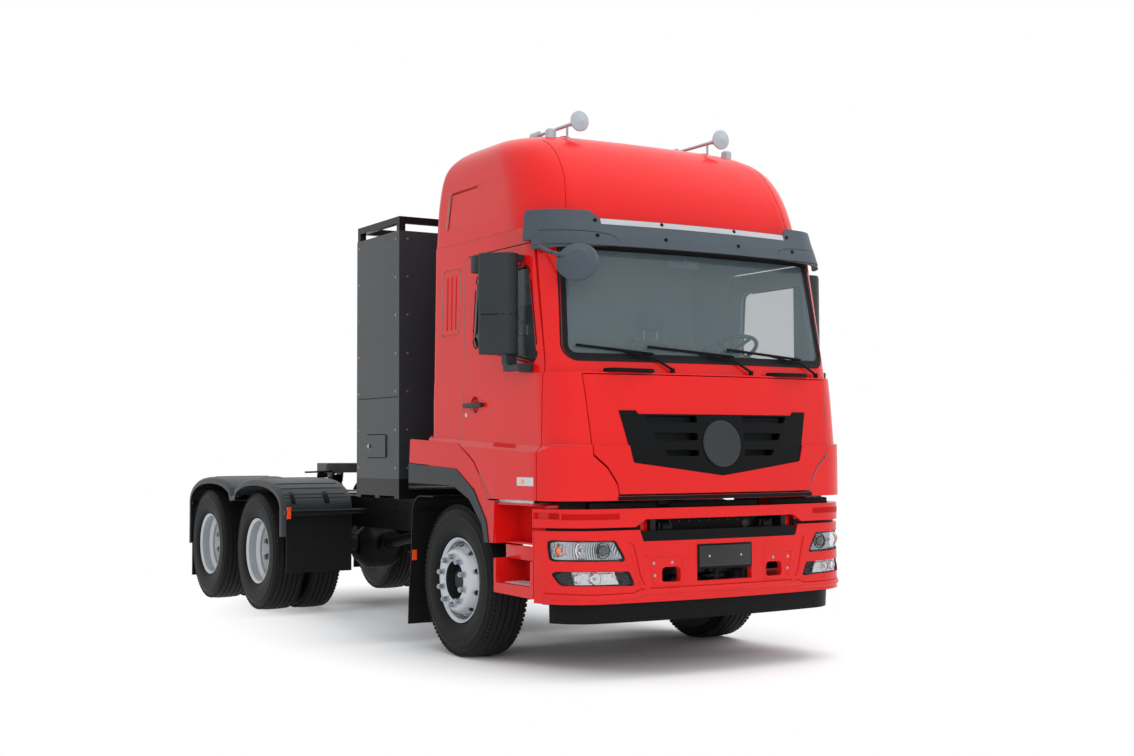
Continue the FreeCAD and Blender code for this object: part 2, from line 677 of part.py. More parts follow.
def crossmembers():
    members = []
    inner_y = RAIL_OUTER_Y - RAIL_THICKNESS
    low = RAIL_TOP_Z - RAIL_HEIGHT + RAIL_THICKNESS
    for x in CROSSMEMBER_X:
        web = box(x - 4, x + 4, -inner_y, inner_y, low + 40, RAIL_TOP_Z - RAIL_THICKNESS - 2)
        top = box(x - 60, x + 4, -inner_y, inner_y, RAIL_TOP_Z - RAIL_THICKNESS - 10, RAIL_TOP_Z - RAIL_THICKNESS - 2)
        foot = box(x - 60, x + 4, -inner_y, inner_y, low + 40, low + 48)
        members.append(fuse([web, top, foot]))
    tail = box(RAIL_REAR_X, RAIL_REAR_X + 8, -inner_y, inner_y, low + 2, RAIL_TOP_Z - RAIL_THICKNESS - 2)
    members.append(tail)
    return group(members + [cab_rest()])


def cab_rest():
    """Rear cab mounting: a post on each rail, a tube between them and the pads that the cab settles on."""
    pieces = [rod((-290, -387, 1190), (-290, 387, 1190), 38)]
    for side in (1, -1):
        pieces.append(slab(-330, -250, side * 345, side * RAIL_OUTER_Y, RAIL_TOP_Z, 1230))
        pieces.append(rod((-290, side * 387, 1230), (-290, side * 387, ARCH_HEAD_Z - 0.5), 38))
    return fuse(pieces)


def tyre(y_centre, x_axle):
    half = TYRE_WIDTH / 2
    tread = TYRE_TREAD_WIDTH / 2
    bead = RIM_WIDTH / 2 - 16
    side = [(BEAD_RADIUS, bead), (RIM_FLANGE_RADIUS + 2, bead + 4), (340, half - 12), (400, half), (452, half - 2),
            (500, half - 14), (TYRE_RADIUS - 16, tread + 4), (TYRE_RADIUS, tread - 16)]
    profile = side + [(r, -a) for r, a in reversed(side)]
    return revolved(profile, (x_axle, y_centre, AXLE_Z), Y_AXIS)


def rim_profile(side):
    """Section of a pressed rim, as (radius, distance out from its middle)."""
    half = RIM_WIDTH / 2
    t = RIM_THICKNESS
    outer = BEAD_RADIUS
    return [(RIM_FLANGE_RADIUS, side * half), (RIM_FLANGE_RADIUS - 6, side * half), (outer - t, side * (half - 16)),
            (outer - t, side * 40), (outer - t - 25, side * 10), (outer - t - 25, -side * 40),
            (outer - t, -side * 70), (outer - t, -side * (half - 16)), (RIM_FLANGE_RADIUS - 6, -side * half),
            (RIM_FLANGE_RADIUS, -side * half), (RIM_FLANGE_RADIUS, -side * (half - 10)),
            (outer, -side * (half - 14)), (outer, -side * 68), (outer - 24, -side * 38), (outer - 24, side * 8),
            (outer, side * 38), (outer, side * (half - 14)), (RIM_FLANGE_RADIUS, side * (half - 10))]


def wheel_disc(x_axle, y_face, bulge, side):
    """Pressed disc from the hub face to the rim's well. bulge is how far the hub face stands out of the rim's middle."""
    t = DISC_THICKNESS
    well = BEAD_RADIUS - RIM_THICKNESS - 24
    back = bulge - math.copysign(t, bulge)
    foot = WELL_MIDDLE + math.copysign(0.7 * t, bulge)
    foot_back = WELL_MIDDLE - math.copysign(0.7 * t, bulge)
    points = [(HUB_PILOT_RADIUS, bulge), (200, bulge), (212, bulge * 0.92), (well, foot), (well, foot_back),
              (200, back), (HUB_PILOT_RADIUS, back)]
    centre = (x_axle, y_face, AXLE_Z)
    disc = revolved([(r, side * a) for r, a in points], centre, Y_AXIS)
    slot = [rod((x_axle + dx, y_face - 200, AXLE_Z + 232), (x_axle + dx, y_face + 200, AXLE_Z + 232), 15)
            for dx in (-14, 14)]
    slot.append(box(x_axle - 14, x_axle + 14, y_face - 200, y_face + 200, AXLE_Z + 217, AXLE_Z + 247))
    return disc.cut(fuse(round_pattern(fuse(slot), centre, Y_AXIS, HAND_HOLES)))


def wheel(x_axle, y_centre, side, bulge):
    centre = (x_axle, y_centre, AXLE_Z)
    rim = revolved(rim_profile(side), centre, Y_AXIS)
    disc = wheel_disc(x_axle, y_centre, bulge, side)
    return fuse([rim, disc])


def hub_nuts(x_axle, y_start, side):
    z = AXLE_Z + NUT_CIRCLE_RADIUS
    nut = rod((x_axle, y_start, z), (x_axle, y_start + side * 50, z), 16)
    return round_pattern(nut, (x_axle, y_start, AXLE_Z), Y_AXIS, NUT_COUNT)


def front_hub(side):
    """Hub and brake drum of a front wheel, with the wheel nuts on its flange."""
    y0 = side * (FRONT_RIM_FACE_Y - RIM_WIDTH / 2)
    face = y0 + side * FRONT_DISC_BULGE
    back = face - side * DISC_THICKNESS
    centre = (0, 0, AXLE_Z)
    hub = revolved([(0, y0 + side * 40), (0, face + side * 46), (62, face + side * 46), (92, face + side * 20),
                    (139, face + side * 4), (139, back), (200, back),
                    (200, back - side * 18), (190, y0 + side * 20), (205, y0 - side * 10), (205, y0 - side * 100),
                    (190, y0 - side * 100), (190, y0 - side * 12), (90, y0 - side * 12), (90, y0 - side * 40),
                    (SPINDLE_RADIUS + 1, y0 - side * 40), (SPINDLE_RADIUS + 1, y0 + side * 40)], centre, Y_AXIS)
    return fuse([hub] + hub_nuts(0, back, side))


def rear_hub(x_axle, side):
    """Rear hub with its brake drum and the axle shaft's flange in the middle of the outer wheel."""
    face = side * (REAR_RIM_FACE_Y - RIM_WIDTH / 2 - DUAL_SPACING / 2)
    back = face - side * DISC_THICKNESS
    centre = (x_axle, 0, AXLE_Z)
    bore = REAR_SPINDLE_RADIUS + 1
    hub = revolved([(0, face - side * 20), (0, face + side * 150), (78, face + side * 150),
                    (96, face + side * 118), (139, face + side * 100), (139, back),
                    (200, back), (200, face - side * 45), (205, face - side * 60), (205, face - side * 240),
                    (190, face - side * 240), (190, face - side * 70), (100, face - side * 60),
                    (100, face - side * 120), (bore, face - side * 120), (bore, face - side * 20)], centre, Y_AXIS)
    return fuse([hub] + hub_nuts(x_axle, back, side))


def front_wheel(side):
    y0 = side * (FRONT_RIM_FACE_Y - RIM_WIDTH / 2)
    return tyre(y0, 0), fuse([wheel(0, y0, side, FRONT_DISC_BULGE), front_hub(side)])


def rear_wheels(x_axle, side):
    """Twin wheels, their discs back to back on the hub's flange."""
    y_outer = side * (REAR_RIM_FACE_Y - RIM_WIDTH / 2)
    y_inner = y_outer - side * DUAL_SPACING
    outer_rim = wheel(x_axle, y_outer, side, -DUAL_SPACING / 2)
    inner_rim = wheel(x_axle, y_inner, -side, -DUAL_SPACING / 2)
    rims = fuse([outer_rim, inner_rim, rear_hub(x_axle, side)])
    return group([tyre(y_outer, x_axle), tyre(y_inner, x_axle)]), rims


def knuckle(side):
    """Steering knuckle: two eyes round the kingpin, the spindle, and the arm of the track rod."""
    y = side * KINGPIN_Y
    pieces = []
    for z0, z1 in ((AXLE_Z + 62, AXLE_Z + 128), (AXLE_Z - 128, AXLE_Z - 62)):
        pieces.append(rod((0, y, z0), (0, y, z1), 52))
        pieces.append(slab(-45, 45, y, y + side * 85, z0, z1))
    pieces.append(slab(-45, 45, y + side * 55, y + side * 85, AXLE_Z - 128, AXLE_Z + 128))
    pieces.append(rod((0, y + side * 60, AXLE_Z), (0, y + side * 200, AXLE_Z), SPINDLE_RADIUS))
    pieces.append(box(-STEER_ARM_LENGTH, -20, y - 22, y + 22, TIE_ROD_Z - 18, TIE_ROD_Z + 18))
    pieces.append(rod((-STEER_ARM_LENGTH, y, TIE_ROD_Z - 18), (-STEER_ARM_LENGTH, y, TIE_ROD_Z + 18), 32))
    bore = rod((0, y, AXLE_Z - 140), (0, y, AXLE_Z + 140), KINGPIN_RADIUS + 0.5)
    stud_bore = rod((-STEER_ARM_LENGTH, y, TIE_ROD_Z - 20), (-STEER_ARM_LENGTH, y, TIE_ROD_Z + 20), STUD_RADIUS + 0.5)
    return fuse(pieces).cut(bore).cut(stud_bore)


def tie_rod():
    """Track rod under the steering arms, with a ball stud up into each arm's eye."""
    y = KINGPIN_Y
    low = TIE_ROD_Z - 70
    pieces = [rod((-STEER_ARM_LENGTH, -y + 20, low), (-STEER_ARM_LENGTH, y - 20, low), TIE_ROD_RADIUS)]
    for side in (1, -1):
        pieces.append(rod((-STEER_ARM_LENGTH, side * y, low - 26), (-STEER_ARM_LENGTH, side * y, low + 34), 34))
        pieces.append(rod((-STEER_ARM_LENGTH, side * y, low), (-STEER_ARM_LENGTH, side * y, TIE_ROD_Z + 10),
                          STUD_RADIUS))
    return fuse(pieces)


def front_axle():
    """Dropped I-beam between the kingpins."""
    profile = []
    top = AXLE_Z + 45
    drop = FRONT_AXLE_DROP
    path = [(-KINGPIN_Y, top), (-KINGPIN_Y + 130, top), (-KINGPIN_Y + 330, top - drop), (KINGPIN_Y - 330, top - drop),
            (KINGPIN_Y - 130, top), (KINGPIN_Y, top)]
    lower = [(y, z - 90) for y, z in reversed(path)]
    beam = front_prism(path + lower, -48, 48)
    sides = [(y, z - 20) for y, z in path] + [(y, z + 20) for y, z in lower]
    for x0, x1 in ((-60, -12), (12, 60)):
        cutter = front_prism([(max(-KINGPIN_Y + 90, min(KINGPIN_Y - 90, y)), z) for y, z in sides], x0, x1)
        beam = beam.cut(cutter)
    bosses = [rod((0, side * KINGPIN_Y, AXLE_Z - 58), (0, side * KINGPIN_Y, AXLE_Z + 58), 50) for side in (1, -1)]
    pins = [rod((0, side * KINGPIN_Y, AXLE_Z - 140), (0, side * KINGPIN_Y, AXLE_Z + 140), KINGPIN_RADIUS)
            for side in (1, -1)]
    return fuse([beam] + bosses + pins)


def leaf_pack(x0, x1, y_mid, z_low, width, camber, count):
    """A pack of curved leaves, each shorter than the one above it."""
    leaves = []
    thick = 16
    for i in range(count):
        trim = i * (x1 - x0) * 0.11
        a = x0 + trim
        b = x1 - trim
        middle = (a + b) / 2
        share = ((b - a) / (x1 - x0)) ** 2
        base = z_low - i * thick
        rise = camber * share
        arc = Part.Arc(V(a, y_mid - width / 2, base + rise), V(middle, y_mid - width / 2, base),
                       V(b, y_mid - width / 2, base + rise)).toShape()
        back = Part.Arc(V(b, y_mid - width / 2, base + rise + thick - 0.2), V(middle, y_mid - width / 2, base + thick - 0.2),
                        V(a, y_mid - width / 2, base + rise + thick - 0.2)).toShape()
        wire = Part.Wire([arc, Part.makeLine(arc.lastVertex().Point, back.firstVertex().Point), back,
                          Part.makeLine(back.lastVertex().Point, arc.firstVertex().Point)])
        leaves.append(Part.Face(wire).extrude(V(0, width, 0)))
    return leaves


def front_springs():
    """Front leaf springs with their seats on the axle and their hangers under the rails."""
    y = 392
    seat_z = AXLE_Z + 45 - FRONT_AXLE_DROP
    leaves = leaf_pack(-780, 780, y, AXLE_Z + 50, 76, 110, 3)
    pad = box(-70, 70, y - 50, y + 50, seat_z, AXLE_Z + 20)
    clamp = box(-60, 60, y - 50, y + 50, AXLE_Z + 10, AXLE_Z + 84)
    pieces = leaves + [pad, clamp]
    for x in (-800, 760):
        pieces.append(box(x, x + 40, y - 44, y + 37, AXLE_Z + 140, RAIL_TOP_Z - RAIL_HEIGHT))
    return both_sides(fuse(pieces))


def bogie_suspension():
    """Tandem suspension: a cross shaft with its feet on the rails, two leaf packs on top, and the torque rods."""
    shaft_z = 470
    shaft = rod((BOGIE_X, -575, shaft_z), (BOGIE_X, 575, shaft_z), 45)
    foot = [(BOGIE_X - 160, RAIL_TOP_Z - 100, 20), (BOGIE_X + 160, RAIL_TOP_Z - 100, 20), (BOGIE_X + 70, 415, 50),
            (BOGIE_X - 70, 415, 50)]
    y = 520
    leaf = 16
    half = TANDEM_SPACING / 2 + 50
    pieces = [side_prism(foot, RAIL_OUTER_Y, RAIL_OUTER_Y + 26)]
    for i in range(5):
        reach = half - i * 110
        z = SPRING_SEAT_Z + i * leaf
        pieces.append(box(BOGIE_X - reach, BOGIE_X + reach, y - 42, y + 42, z, z + leaf))
    saddle = [(BOGIE_X - 120, SPRING_SEAT_Z, 10), (BOGIE_X + 120, SPRING_SEAT_Z, 10), (BOGIE_X + 60, 420, 50),
              (BOGIE_X - 60, 420, 50)]
    pieces.append(side_prism(saddle, y - 55, y + 55))
    pieces.append(box(BOGIE_X - 80, BOGIE_X + 80, y - 52, y + 52, SPRING_SEAT_Z - 20, SPRING_SEAT_Z + 100))
    low = AXLE_Z - 98
    for x_axle, direction in zip(REAR_AXLE_X, (-1, 1)):
        pieces.append(rod((x_axle, y - 25, low), (x_axle + direction * 600, y - 25, 490), 24))
        pieces.append(rod((x_axle, y - 45, low), (x_axle, y + 5, low), 36))
        pieces.append(box(x_axle - 30, x_axle + 30, y - 45, y + 5, low, AXLE_Z - 62))
    side = fuse(pieces)
    return fuse([shaft, side, mirrored(side)])


# Input flange of a driven axle, ahead of the axle's middle and above the ground
SHAFT_FLANGE_X = 350
SHAFT_FLANGE_Z = AXLE_Z + 60


def rear_axle(x_axle, shaft_y, output_y=None):
    """Driven axle: round final drive in a beam housing, its input flange, spring seats and brake chambers."""
    centre = (x_axle, 0, AXLE_Z)
    ball = revolved([(0, -235), (120, -225), (205, -120, 60), (205, 120, 60), (120, 225), (0, 235)], centre, Y_AXIS)
    housing = box(x_axle - 68, x_axle + 68, -560, 560, AXLE_Z - 62, AXLE_Z + 72)
    spindle = rod((x_axle, -860, AXLE_Z), (x_axle, 860, AXLE_Z), REAR_SPINDLE_RADIUS)
    nose = rod((x_axle, shaft_y, AXLE_Z + 20), (x_axle + 325, shaft_y, SHAFT_FLANGE_Z), 95)
    flange = rod((x_axle + 300, shaft_y, SHAFT_FLANGE_Z), (x_axle + SHAFT_FLANGE_X, shaft_y, SHAFT_FLANGE_Z), 75)
    pieces = [ball, housing, spindle, nose, flange]
    if output_y is not None:
        pieces.append(rod((x_axle - 150, output_y, SHAFT_FLANGE_Z), (x_axle - 240, output_y, SHAFT_FLANGE_Z), 75))
    for side in (1, -1):
        pieces.append(slab(x_axle - 80, x_axle + 80, side * 470, side * 562, AXLE_Z - 62, SPRING_SEAT_Z))
        pieces.append(rod((x_axle + 150, side * 300, AXLE_Z + 60), (x_axle + 150, side * 450, AXLE_Z + 60), 78))
        pieces.append(slab(x_axle + 30, x_axle + 150, side * 425, side * 450, AXLE_Z + 20, AXLE_Z + 100))
    return fuse(pieces)


def propeller_shaft(start, end, radius):
    """A shaft between two upright flanges. start is its front end."""
    front = rod(start, (start[0] - 40, start[1], start[2]), 65)
    rear = rod(end, (end[0] + 40, end[1], end[2]), 65)
    shaft = rod((start[0] - 20, start[1], start[2]), (end[0] + 20, end[1], end[2]), radius)
    return fuse([front, rear, shaft])


def drive_line():
    """The electric motor with its gearbox, one plain block between the rails, and the two propeller shafts."""
    body = rod((-1480, 0, 800), (-2050, 0, 780), 235)
    gear = side_prism([(-2040, 600, 60), (-2040, 980, 40), (-2400, 880, 40), (-2400, 640, 60)], -190, 190)
    hanger = box(-1760, -1700, -RAIL_OUTER_Y + RAIL_THICKNESS, RAIL_OUTER_Y - RAIL_THICKNESS, 860, 900)
    main = propeller_shaft((-2390, 0, 760), (REAR_AXLE_X[0] + SHAFT_FLANGE_X, 0, SHAFT_FLANGE_Z), 50)
    second = propeller_shaft((REAR_AXLE_X[0] - 240, 60, SHAFT_FLANGE_Z),
                             (REAR_AXLE_X[1] + SHAFT_FLANGE_X, 60, SHAFT_FLANGE_Z), 45)
    return group([fuse([body, gear, hanger, main]), second])


def air_tanks():
    tanks = []
    for x0 in (-2080, -2960):
        tank = rod((x0, 600, 840), (x0 + 700, 600, 840), 140)
        bracket = box(x0 + 120, x0 + 150, 430, 600, 830, 1000)
        bracket_b = box(x0 + 550, x0 + 580, 430, 600, 830, 1000)
        tanks.append(fuse([tank, bracket, bracket_b]))
    return group(tanks)


def side_box():
    """Ribbed box on the right rail behind the front wheel, and the coolant set on the left one."""
    case = box(-1330, -905, -760, -560, 740, 1060)
    ribs = [box(-1330 + 35 * i, -1318 + 35 * i, -775, -755, 760, 1040) for i in range(12)]
    bracket = box(-1280, -960, -562, -430, 820, 840)
    left = box(-1240, -900, 560, 850, 700, 1060)
    left_bracket = box(-1200, -940, 430, 562, 820, 840)
    return group([fuse([case, bracket] + ribs), fuse([left, left_bracket])])


def rack_base():
    """Sub-frame on the rails that carries the battery rack."""
    bars = []
    foot_y = RAIL_OUTER_Y - RAIL_FLANGE / 2
    for side in (1, -1):
        bars.append(slab(RACK_REAR_X - 20, RACK_FRONT_X + 20, side * foot_y - 42, side * foot_y + 42, RAIL_TOP_Z,
                         RACK_BASE_Z + 20))
    for x in (RACK_REAR_X, (RACK_REAR_X + RACK_FRONT_X) / 2 - 40, RACK_FRONT_X - 80):
        bars.append(box(x, x + 80, -RACK_HALF_WIDTH, RACK_HALF_WIDTH, RACK_BASE_Z, RACK_BASE_Z + 70))
    for side in (1, -1):
        edge = side * (RACK_HALF_WIDTH - 40)
        bars.append(slab(RACK_REAR_X, RACK_FRONT_X, edge - 40, edge + 40, RACK_BASE_Z + 20, RACK_PANEL_BOTTOM_Z))
    bars.append(box(RACK_REAR_X, RACK_FRONT_X, -RACK_HALF_WIDTH, RACK_HALF_WIDTH, RACK_PANEL_BOTTOM_Z - 12,
                    RACK_PANEL_BOTTOM_Z))
    return bars


def rack_frame():
    """Welded frame of the rack: the base, four square-tube posts and two rings, open above the panels."""
    t = RACK_TUBE
    s = RACK_SHEET
    x0 = RACK_REAR_X + s
    x1 = RACK_FRONT_X - s
    y1 = RACK_HALF_WIDTH - s
    bars = rack_base()
    for x in (x0, x1 - t):
        for y in (-y1, y1 - t):
            bars.append(box(x, x + t, y, y + t, RACK_PANEL_BOTTOM_Z, RACK_TOP_Z))
    for z in (RACK_PANEL_TOP_Z - t, RACK_TOP_Z - t):
        for x in (x0, x1 - t):
            bars.append(box(x, x + t, -y1, y1, z, z + t))
        for y in (-y1, y1 - t):
            bars.append(box(x0, x1, y, y + t, z, z + t))
    return fuse(bars)


# Hatch in the rack's right side: rear and front X, bottom and top Z
HATCH = (-1436, -1105, 1403, 1577)
HATCH_HINGE_X = HATCH[1] + PANEL_GAP + 4


def rack_panels():
    s = RACK_SHEET
    low = RACK_PANEL_BOTTOM_Z
    shell = box(RACK_REAR_X, RACK_FRONT_X, -RACK_HALF_WIDTH, RACK_HALF_WIDTH, low, RACK_PANEL_TOP_Z)
    shell = shell.cut(box(RACK_REAR_X + s, RACK_FRONT_X - s, -RACK_HALF_WIDTH + s, RACK_HALF_WIDTH - s, low - 1,
                          RACK_PANEL_TOP_Z + 1))
    x0, x1, z0, z1 = HATCH
    gap = PANEL_GAP
    hatch = box(x0 - gap, x1 + gap, -RACK_HALF_WIDTH - 10, -RACK_HALF_WIDTH + s + 1, z0 - gap, z1 + gap)
    return shell.cut(hatch)


def battery_block():
    """The traction battery packs, one plain block inside the rack."""
    return box(RACK_REAR_X + 80, RACK_FRONT_X - 80, -RACK_HALF_WIDTH + 120, RACK_HALF_WIDTH - 120, RACK_PANEL_BOTTOM_Z,
               3040)


def charge_door():
    """Hinged hatch in the rack's right side, with its round lock."""
    x0, x1, z0, z1 = HATCH
    y = -RACK_HALF_WIDTH
    radius = 5
    leaf = box(x0, x1, y - 3, y + 1, z0, z1)
    strap = box(x1 - 10, HATCH_HINGE_X, y - 2 * radius + 2, y - 3, z0, z1)
    lock = rod((x0 + 40, y - 10, (z0 + z1) / 2), (x0 + 40, y - 2, (z0 + z1) / 2), 12)
    hinge = rod((HATCH_HINGE_X, y - radius, z0), (HATCH_HINGE_X, y - radius, z1), radius)
    return fuse([leaf, strap, lock, hinge])


def rear_fender():
    """One moulded fender over the left pair of rear wheels, dipped between the axles, with a turned-in lip."""
    top = FENDER_TOP_Z
    a, b = REAR_AXLE_X
    middle = BOGIE_X
    front_edge = a + 705
    points = [(front_edge, 700), (front_edge, 1060, 150), (a + 380, top, 260), (a - 330, top, 240),
              (middle + 40, 1035, 60), (middle - 40, 1035, 60), (b + 330, top, 240),
              (b - 300, top, 260), (TAIL_X, 1000, 260), (TAIL_X, 520)]
    skin = open_skin(points, FENDER_WALL, FENDER_INNER_Y, FENDER_OUTER_Y)
    lip = open_skin(points, 60, FENDER_OUTER_Y - 8, FENDER_OUTER_Y)
    return fuse([skin, lip])


def fender_supports():
    """Round tubes from the rails that carry the fenders on small pads, and the tail lamp bar on the frame's end."""
    tubes = []
    front_x = REAR_AXLE_X[0] + 740
    for x, z in ((front_x, 915), (BOGIE_X, 1000), (TAIL_X + 80, 930)):
        pieces = [rod((x, RAIL_OUTER_Y, z), (x, FENDER_OUTER_Y - 10, z), 22)]
        pieces.append(slab(x, x + 60, RAIL_OUTER_Y, RAIL_OUTER_Y + 12, z - 50, z + 40))
        for y in (640, 1120):
            if x == front_x:
                pieces.append(box(REAR_AXLE_X[0] + 705, x, y, y + 40, z - 18, z + 18))
            elif x == BOGIE_X:
                pieces.append(box(x - 20, x + 20, y, y + 40, z, 1035 - FENDER_WALL))
            else:
                pieces.append(box(TAIL_X + FENDER_WALL, x - 20, y, y + 40, 830, 866))
                pieces.append(box(x - 40, x - 20, y, y + 40, 830, z + 10))
        tubes.append(fuse(pieces))
    bar = box(TAIL_X + 6, RAIL_REAR_X, -565, 565, 775, 850)
    lamps = [slab(TAIL_X + 1, TAIL_X + 40, side * 380, side * 560, 650, 775) for side in (1, -1)]
    return group(tubes + [mirrored(tube) for tube in tubes] + [fuse([bar] + lamps)])


def mudguards():
    """Guards behind the front wheels with their rubber flaps, and the flaps of the rear wheels."""
    path = [(-300, 1125), (-646, 1125, 140), (-668, 700, 200), (-700, 450), (-720, 170)]
    guard = open_skin(path, 8, 690, 1195)
    stay = rod((-652, RAIL_OUTER_Y, 1000), (-652, 1150, 1000), 18)
    front_flap_plate = box(REAR_AXLE_X[0] + 705, REAR_AXLE_X[0] + 711, 580, 1200, 380, 880)
    rear_flap = box(TAIL_X, TAIL_X + 8, 600, 1200, 190, 520)
    return both_sides(group([fuse([guard, stay]), front_flap_plate, rear_flap]))


def open_skin(points, wall, y0, y1):
    """A bent sheet that follows a side outline, wall thick towards the inside of its bends."""
    wire = rounded_outline(points, lambda x, z: V(x, 0, z))
    path = Part.Wire(Part.__sortEdges__(wire.Edges[:-1]))
    choices = [path.makeOffset2D(sign * wall, 2, False, True, True) for sign in (1, -1)]
    inner_wire = min(choices, key=lambda shape: shape.Length)
    ends = [path.OrderedVertexes[0].Point, path.OrderedVertexes[-1].Point]
    inner_ends = [inner_wire.OrderedVertexes[0].Point, inner_wire.OrderedVertexes[-1].Point]
    if (inner_ends[0] - ends[0]).Length > (inner_ends[1] - ends[0]).Length:
        inner_ends.reverse()
    ring = list(path.Edges) + list(inner_wire.Edges)
    ring += [Part.makeLine(a, b) for a, b in zip(ends, inner_ends)]
    face = Part.Face(Part.Wire(Part.__sortEdges__(ring)))
    face.translate(V(0, y0, 0))
    return face.extrude(V(0, y1 - y0, 0))


def fifth_wheel_mount():
    """Base plate on the rails and the two pedestals that carry the coupling plate's pins."""
    base = box(FIFTH_X - 330, FIFTH_X + 330, -RAIL_OUTER_Y, RAIL_OUTER_Y, RAIL_TOP_Z, RAIL_TOP_Z + 12)
    pieces = [base]
    for side in (1, -1):
        pedestal = [(FIFTH_X - 170, RAIL_TOP_Z + 10), (FIFTH_X - 60, FIFTH_PIVOT_Z, 40),
                    (FIFTH_X, FIFTH_PIVOT_Z + 62, 50), (FIFTH_X + 60, FIFTH_PIVOT_Z, 40),
                    (FIFTH_X + 170, RAIL_TOP_Z + 10)]
        y = side * FIFTH_PEDESTAL_Y
        pieces.append(side_prism(pedestal, y - 30, y + 30))
        pieces.append(rod((FIFTH_X, y - 62, FIFTH_PIVOT_Z), (FIFTH_X, y + 62, FIFTH_PIVOT_Z), FIFTH_PIN_RADIUS))
    return fuse(pieces)


def fifth_wheel_plate():
    """Coupling plate: round front, throat and horns at the back, lugs on the pedestal pins, closed lock bore."""
    top = FIFTH_TOP_Z
    x = FIFTH_X
    half = [(x + 330, 160, 60), (x + 250, 330, 80), (x + 60, 440, 120), (x - 200, 440, 80), (x - 330, 370, 60),
            (x - 545, 300, 40), (x - 560, 190, 40), (x - 330, 105, 60), (x - 90, 34, 20)]
    plan = half + [(px, -py, r) for px, py, r in reversed(half)]
    plate = plan_prism(plan, top - 34, top)
    skirt = plan_prism(plan, top - 90, top - 30).cut(plan_prism([(x + (px - x) * 0.93, py * 0.93, r) for px, py, r in plan],
                                                              top - 91, top - 29))
    ramp = side_prism([(x - 340, top + 1), (x - 600, top + 1), (x - 600, top - 110), (x - 340, top - 0.5)], -500, 500)
    under = side_prism([(x - 300, top - 60), (x - 600, top - 170), (x - 600, top - 200), (x - 300, top - 200)], -500, 500)
    tail = plan_prism(plan, top - 150, top).common(box(x - 600, x - 340, -500, 500, top - 150, top))
    pieces = [plate, skirt, tail]
    for side in (1, -1):
        for y in (side * (FIFTH_PEDESTAL_Y - 47), side * (FIFTH_PEDESTAL_Y + 47)):
            lug = [(x - 75, top - 20), (x - 40, FIFTH_PIVOT_Z - 40, 40), (x + 40, FIFTH_PIVOT_Z - 40, 40), (x + 75, top - 20)]
            pieces.append(side_prism(lug, y - 12, y + 12))
        ribs = box(x - 320, x + 260, side * 200 - 8, side * 200 + 8, top - 80, top - 20)
        pieces.append(ribs)
    boss = rod((x, 0, top - 90), (x, 0, top), 85)
    plate = fuse(pieces + [boss]).cut(ramp).cut(under)
    plate = plate.cut(rod((x, 0, top - 120), (x, 0, top + 5), KINGPIN_LOCK_RADIUS + 0.2))
    pin_bore = rod((x, -500, FIFTH_PIVOT_Z), (x, 500, FIFTH_PIVOT_Z), FIFTH_PIN_RADIUS + 0.5)
    return plate.cut(pin_bore)


def steering_axis():
    """Direction from the column up through the steering wheel's hub."""
    lean = math.radians(STEERING_TILT)
    return V(-math.sin(lean), 0, math.cos(lean))


def dashboard():
    """Full-width dashboard with a hood over the instruments, on the left, and the steering column."""
    outline = [(1500, 1100), (1500, 1900), (1350, 1900, 30), (1250, 1965, 60), (1060, 1935, 60), (1010, 1800, 40),
               (1120, 1600, 60), (1130, 1100)]
    body = side_prism(outline, -1090, 1090)
    hood = side_prism([(1240, 1900), (1240, 2010, 40), (1060, 2030, 40), (1030, 1900)], 330, 790)
    centre = V(STEERING_WHEEL_X, STEERING_WHEEL_Y, STEERING_WHEEL_Z)
    column = rod(tuple(centre - steering_axis() * 420), tuple(centre - steering_axis() * 26), 38)
    return fuse([body, hood, column])


def steering_wheel():
    centre = V(STEERING_WHEEL_X, STEERING_WHEEL_Y, STEERING_WHEEL_Z)
    section = [(212 + 15 * math.cos(i * math.pi / 4), 15 * math.sin(i * math.pi / 4)) for i in range(8)]
    rim = revolved(section, tuple(centre), Z_AXIS)
    hub = Part.makeCylinder(62, 40, centre - V(0, 0, 20), Z_AXIS)
    spokes = []
    for angle in (35, 145, 215, 325):
        spoke = box(centre.x + 40, centre.x + 205, centre.y - 18, centre.y + 18, centre.z - 8, centre.z + 8)
        spokes.append(spoke.rotated(centre, Z_AXIS, angle))
    turned = fuse([rim, hub] + spokes)
    turned.rotate(centre, Y_AXIS, -STEERING_TILT)
    return turned


def seat(y):
    """Driver's or passenger's seat: base, cushion, back with its side bolsters, and head rest."""
    base = box(180, 560, y - 180, y + 180, 1000, 1490)
    cushion = side_prism([(120, 1490, 20), (120, 1640, 40), (640, 1660, 60), (650, 1500, 40)], y - 250, y + 250)
    back = side_prism([(60, 1560, 40), (215, 1600, 40), (80, 2330, 60), (-60, 2330, 60)], y - 240, y + 240)
    head = side_prism([(-60, 2350, 30), (60, 2350, 30), (30, 2540, 40), (-70, 2540, 40)], y - 140, y + 140)
    stalks = [rod((-5, y + dy, 2300), (-10, y + dy, 2380), 9) for dy in (-60, 60)]
    return fuse([base, cushion, back, head] + stalks)


def bunk():
    """Bunk across the cab's back: a mattress on its box."""
    mattress = side_prism([(-400, 1640), (-400, 1780), (-90, 1780, 40), (-90, 1640, 30)], -1100, 1100)
    return fuse([mattress, box(-400, -140, -1100, 1100, 1000, 1645)])


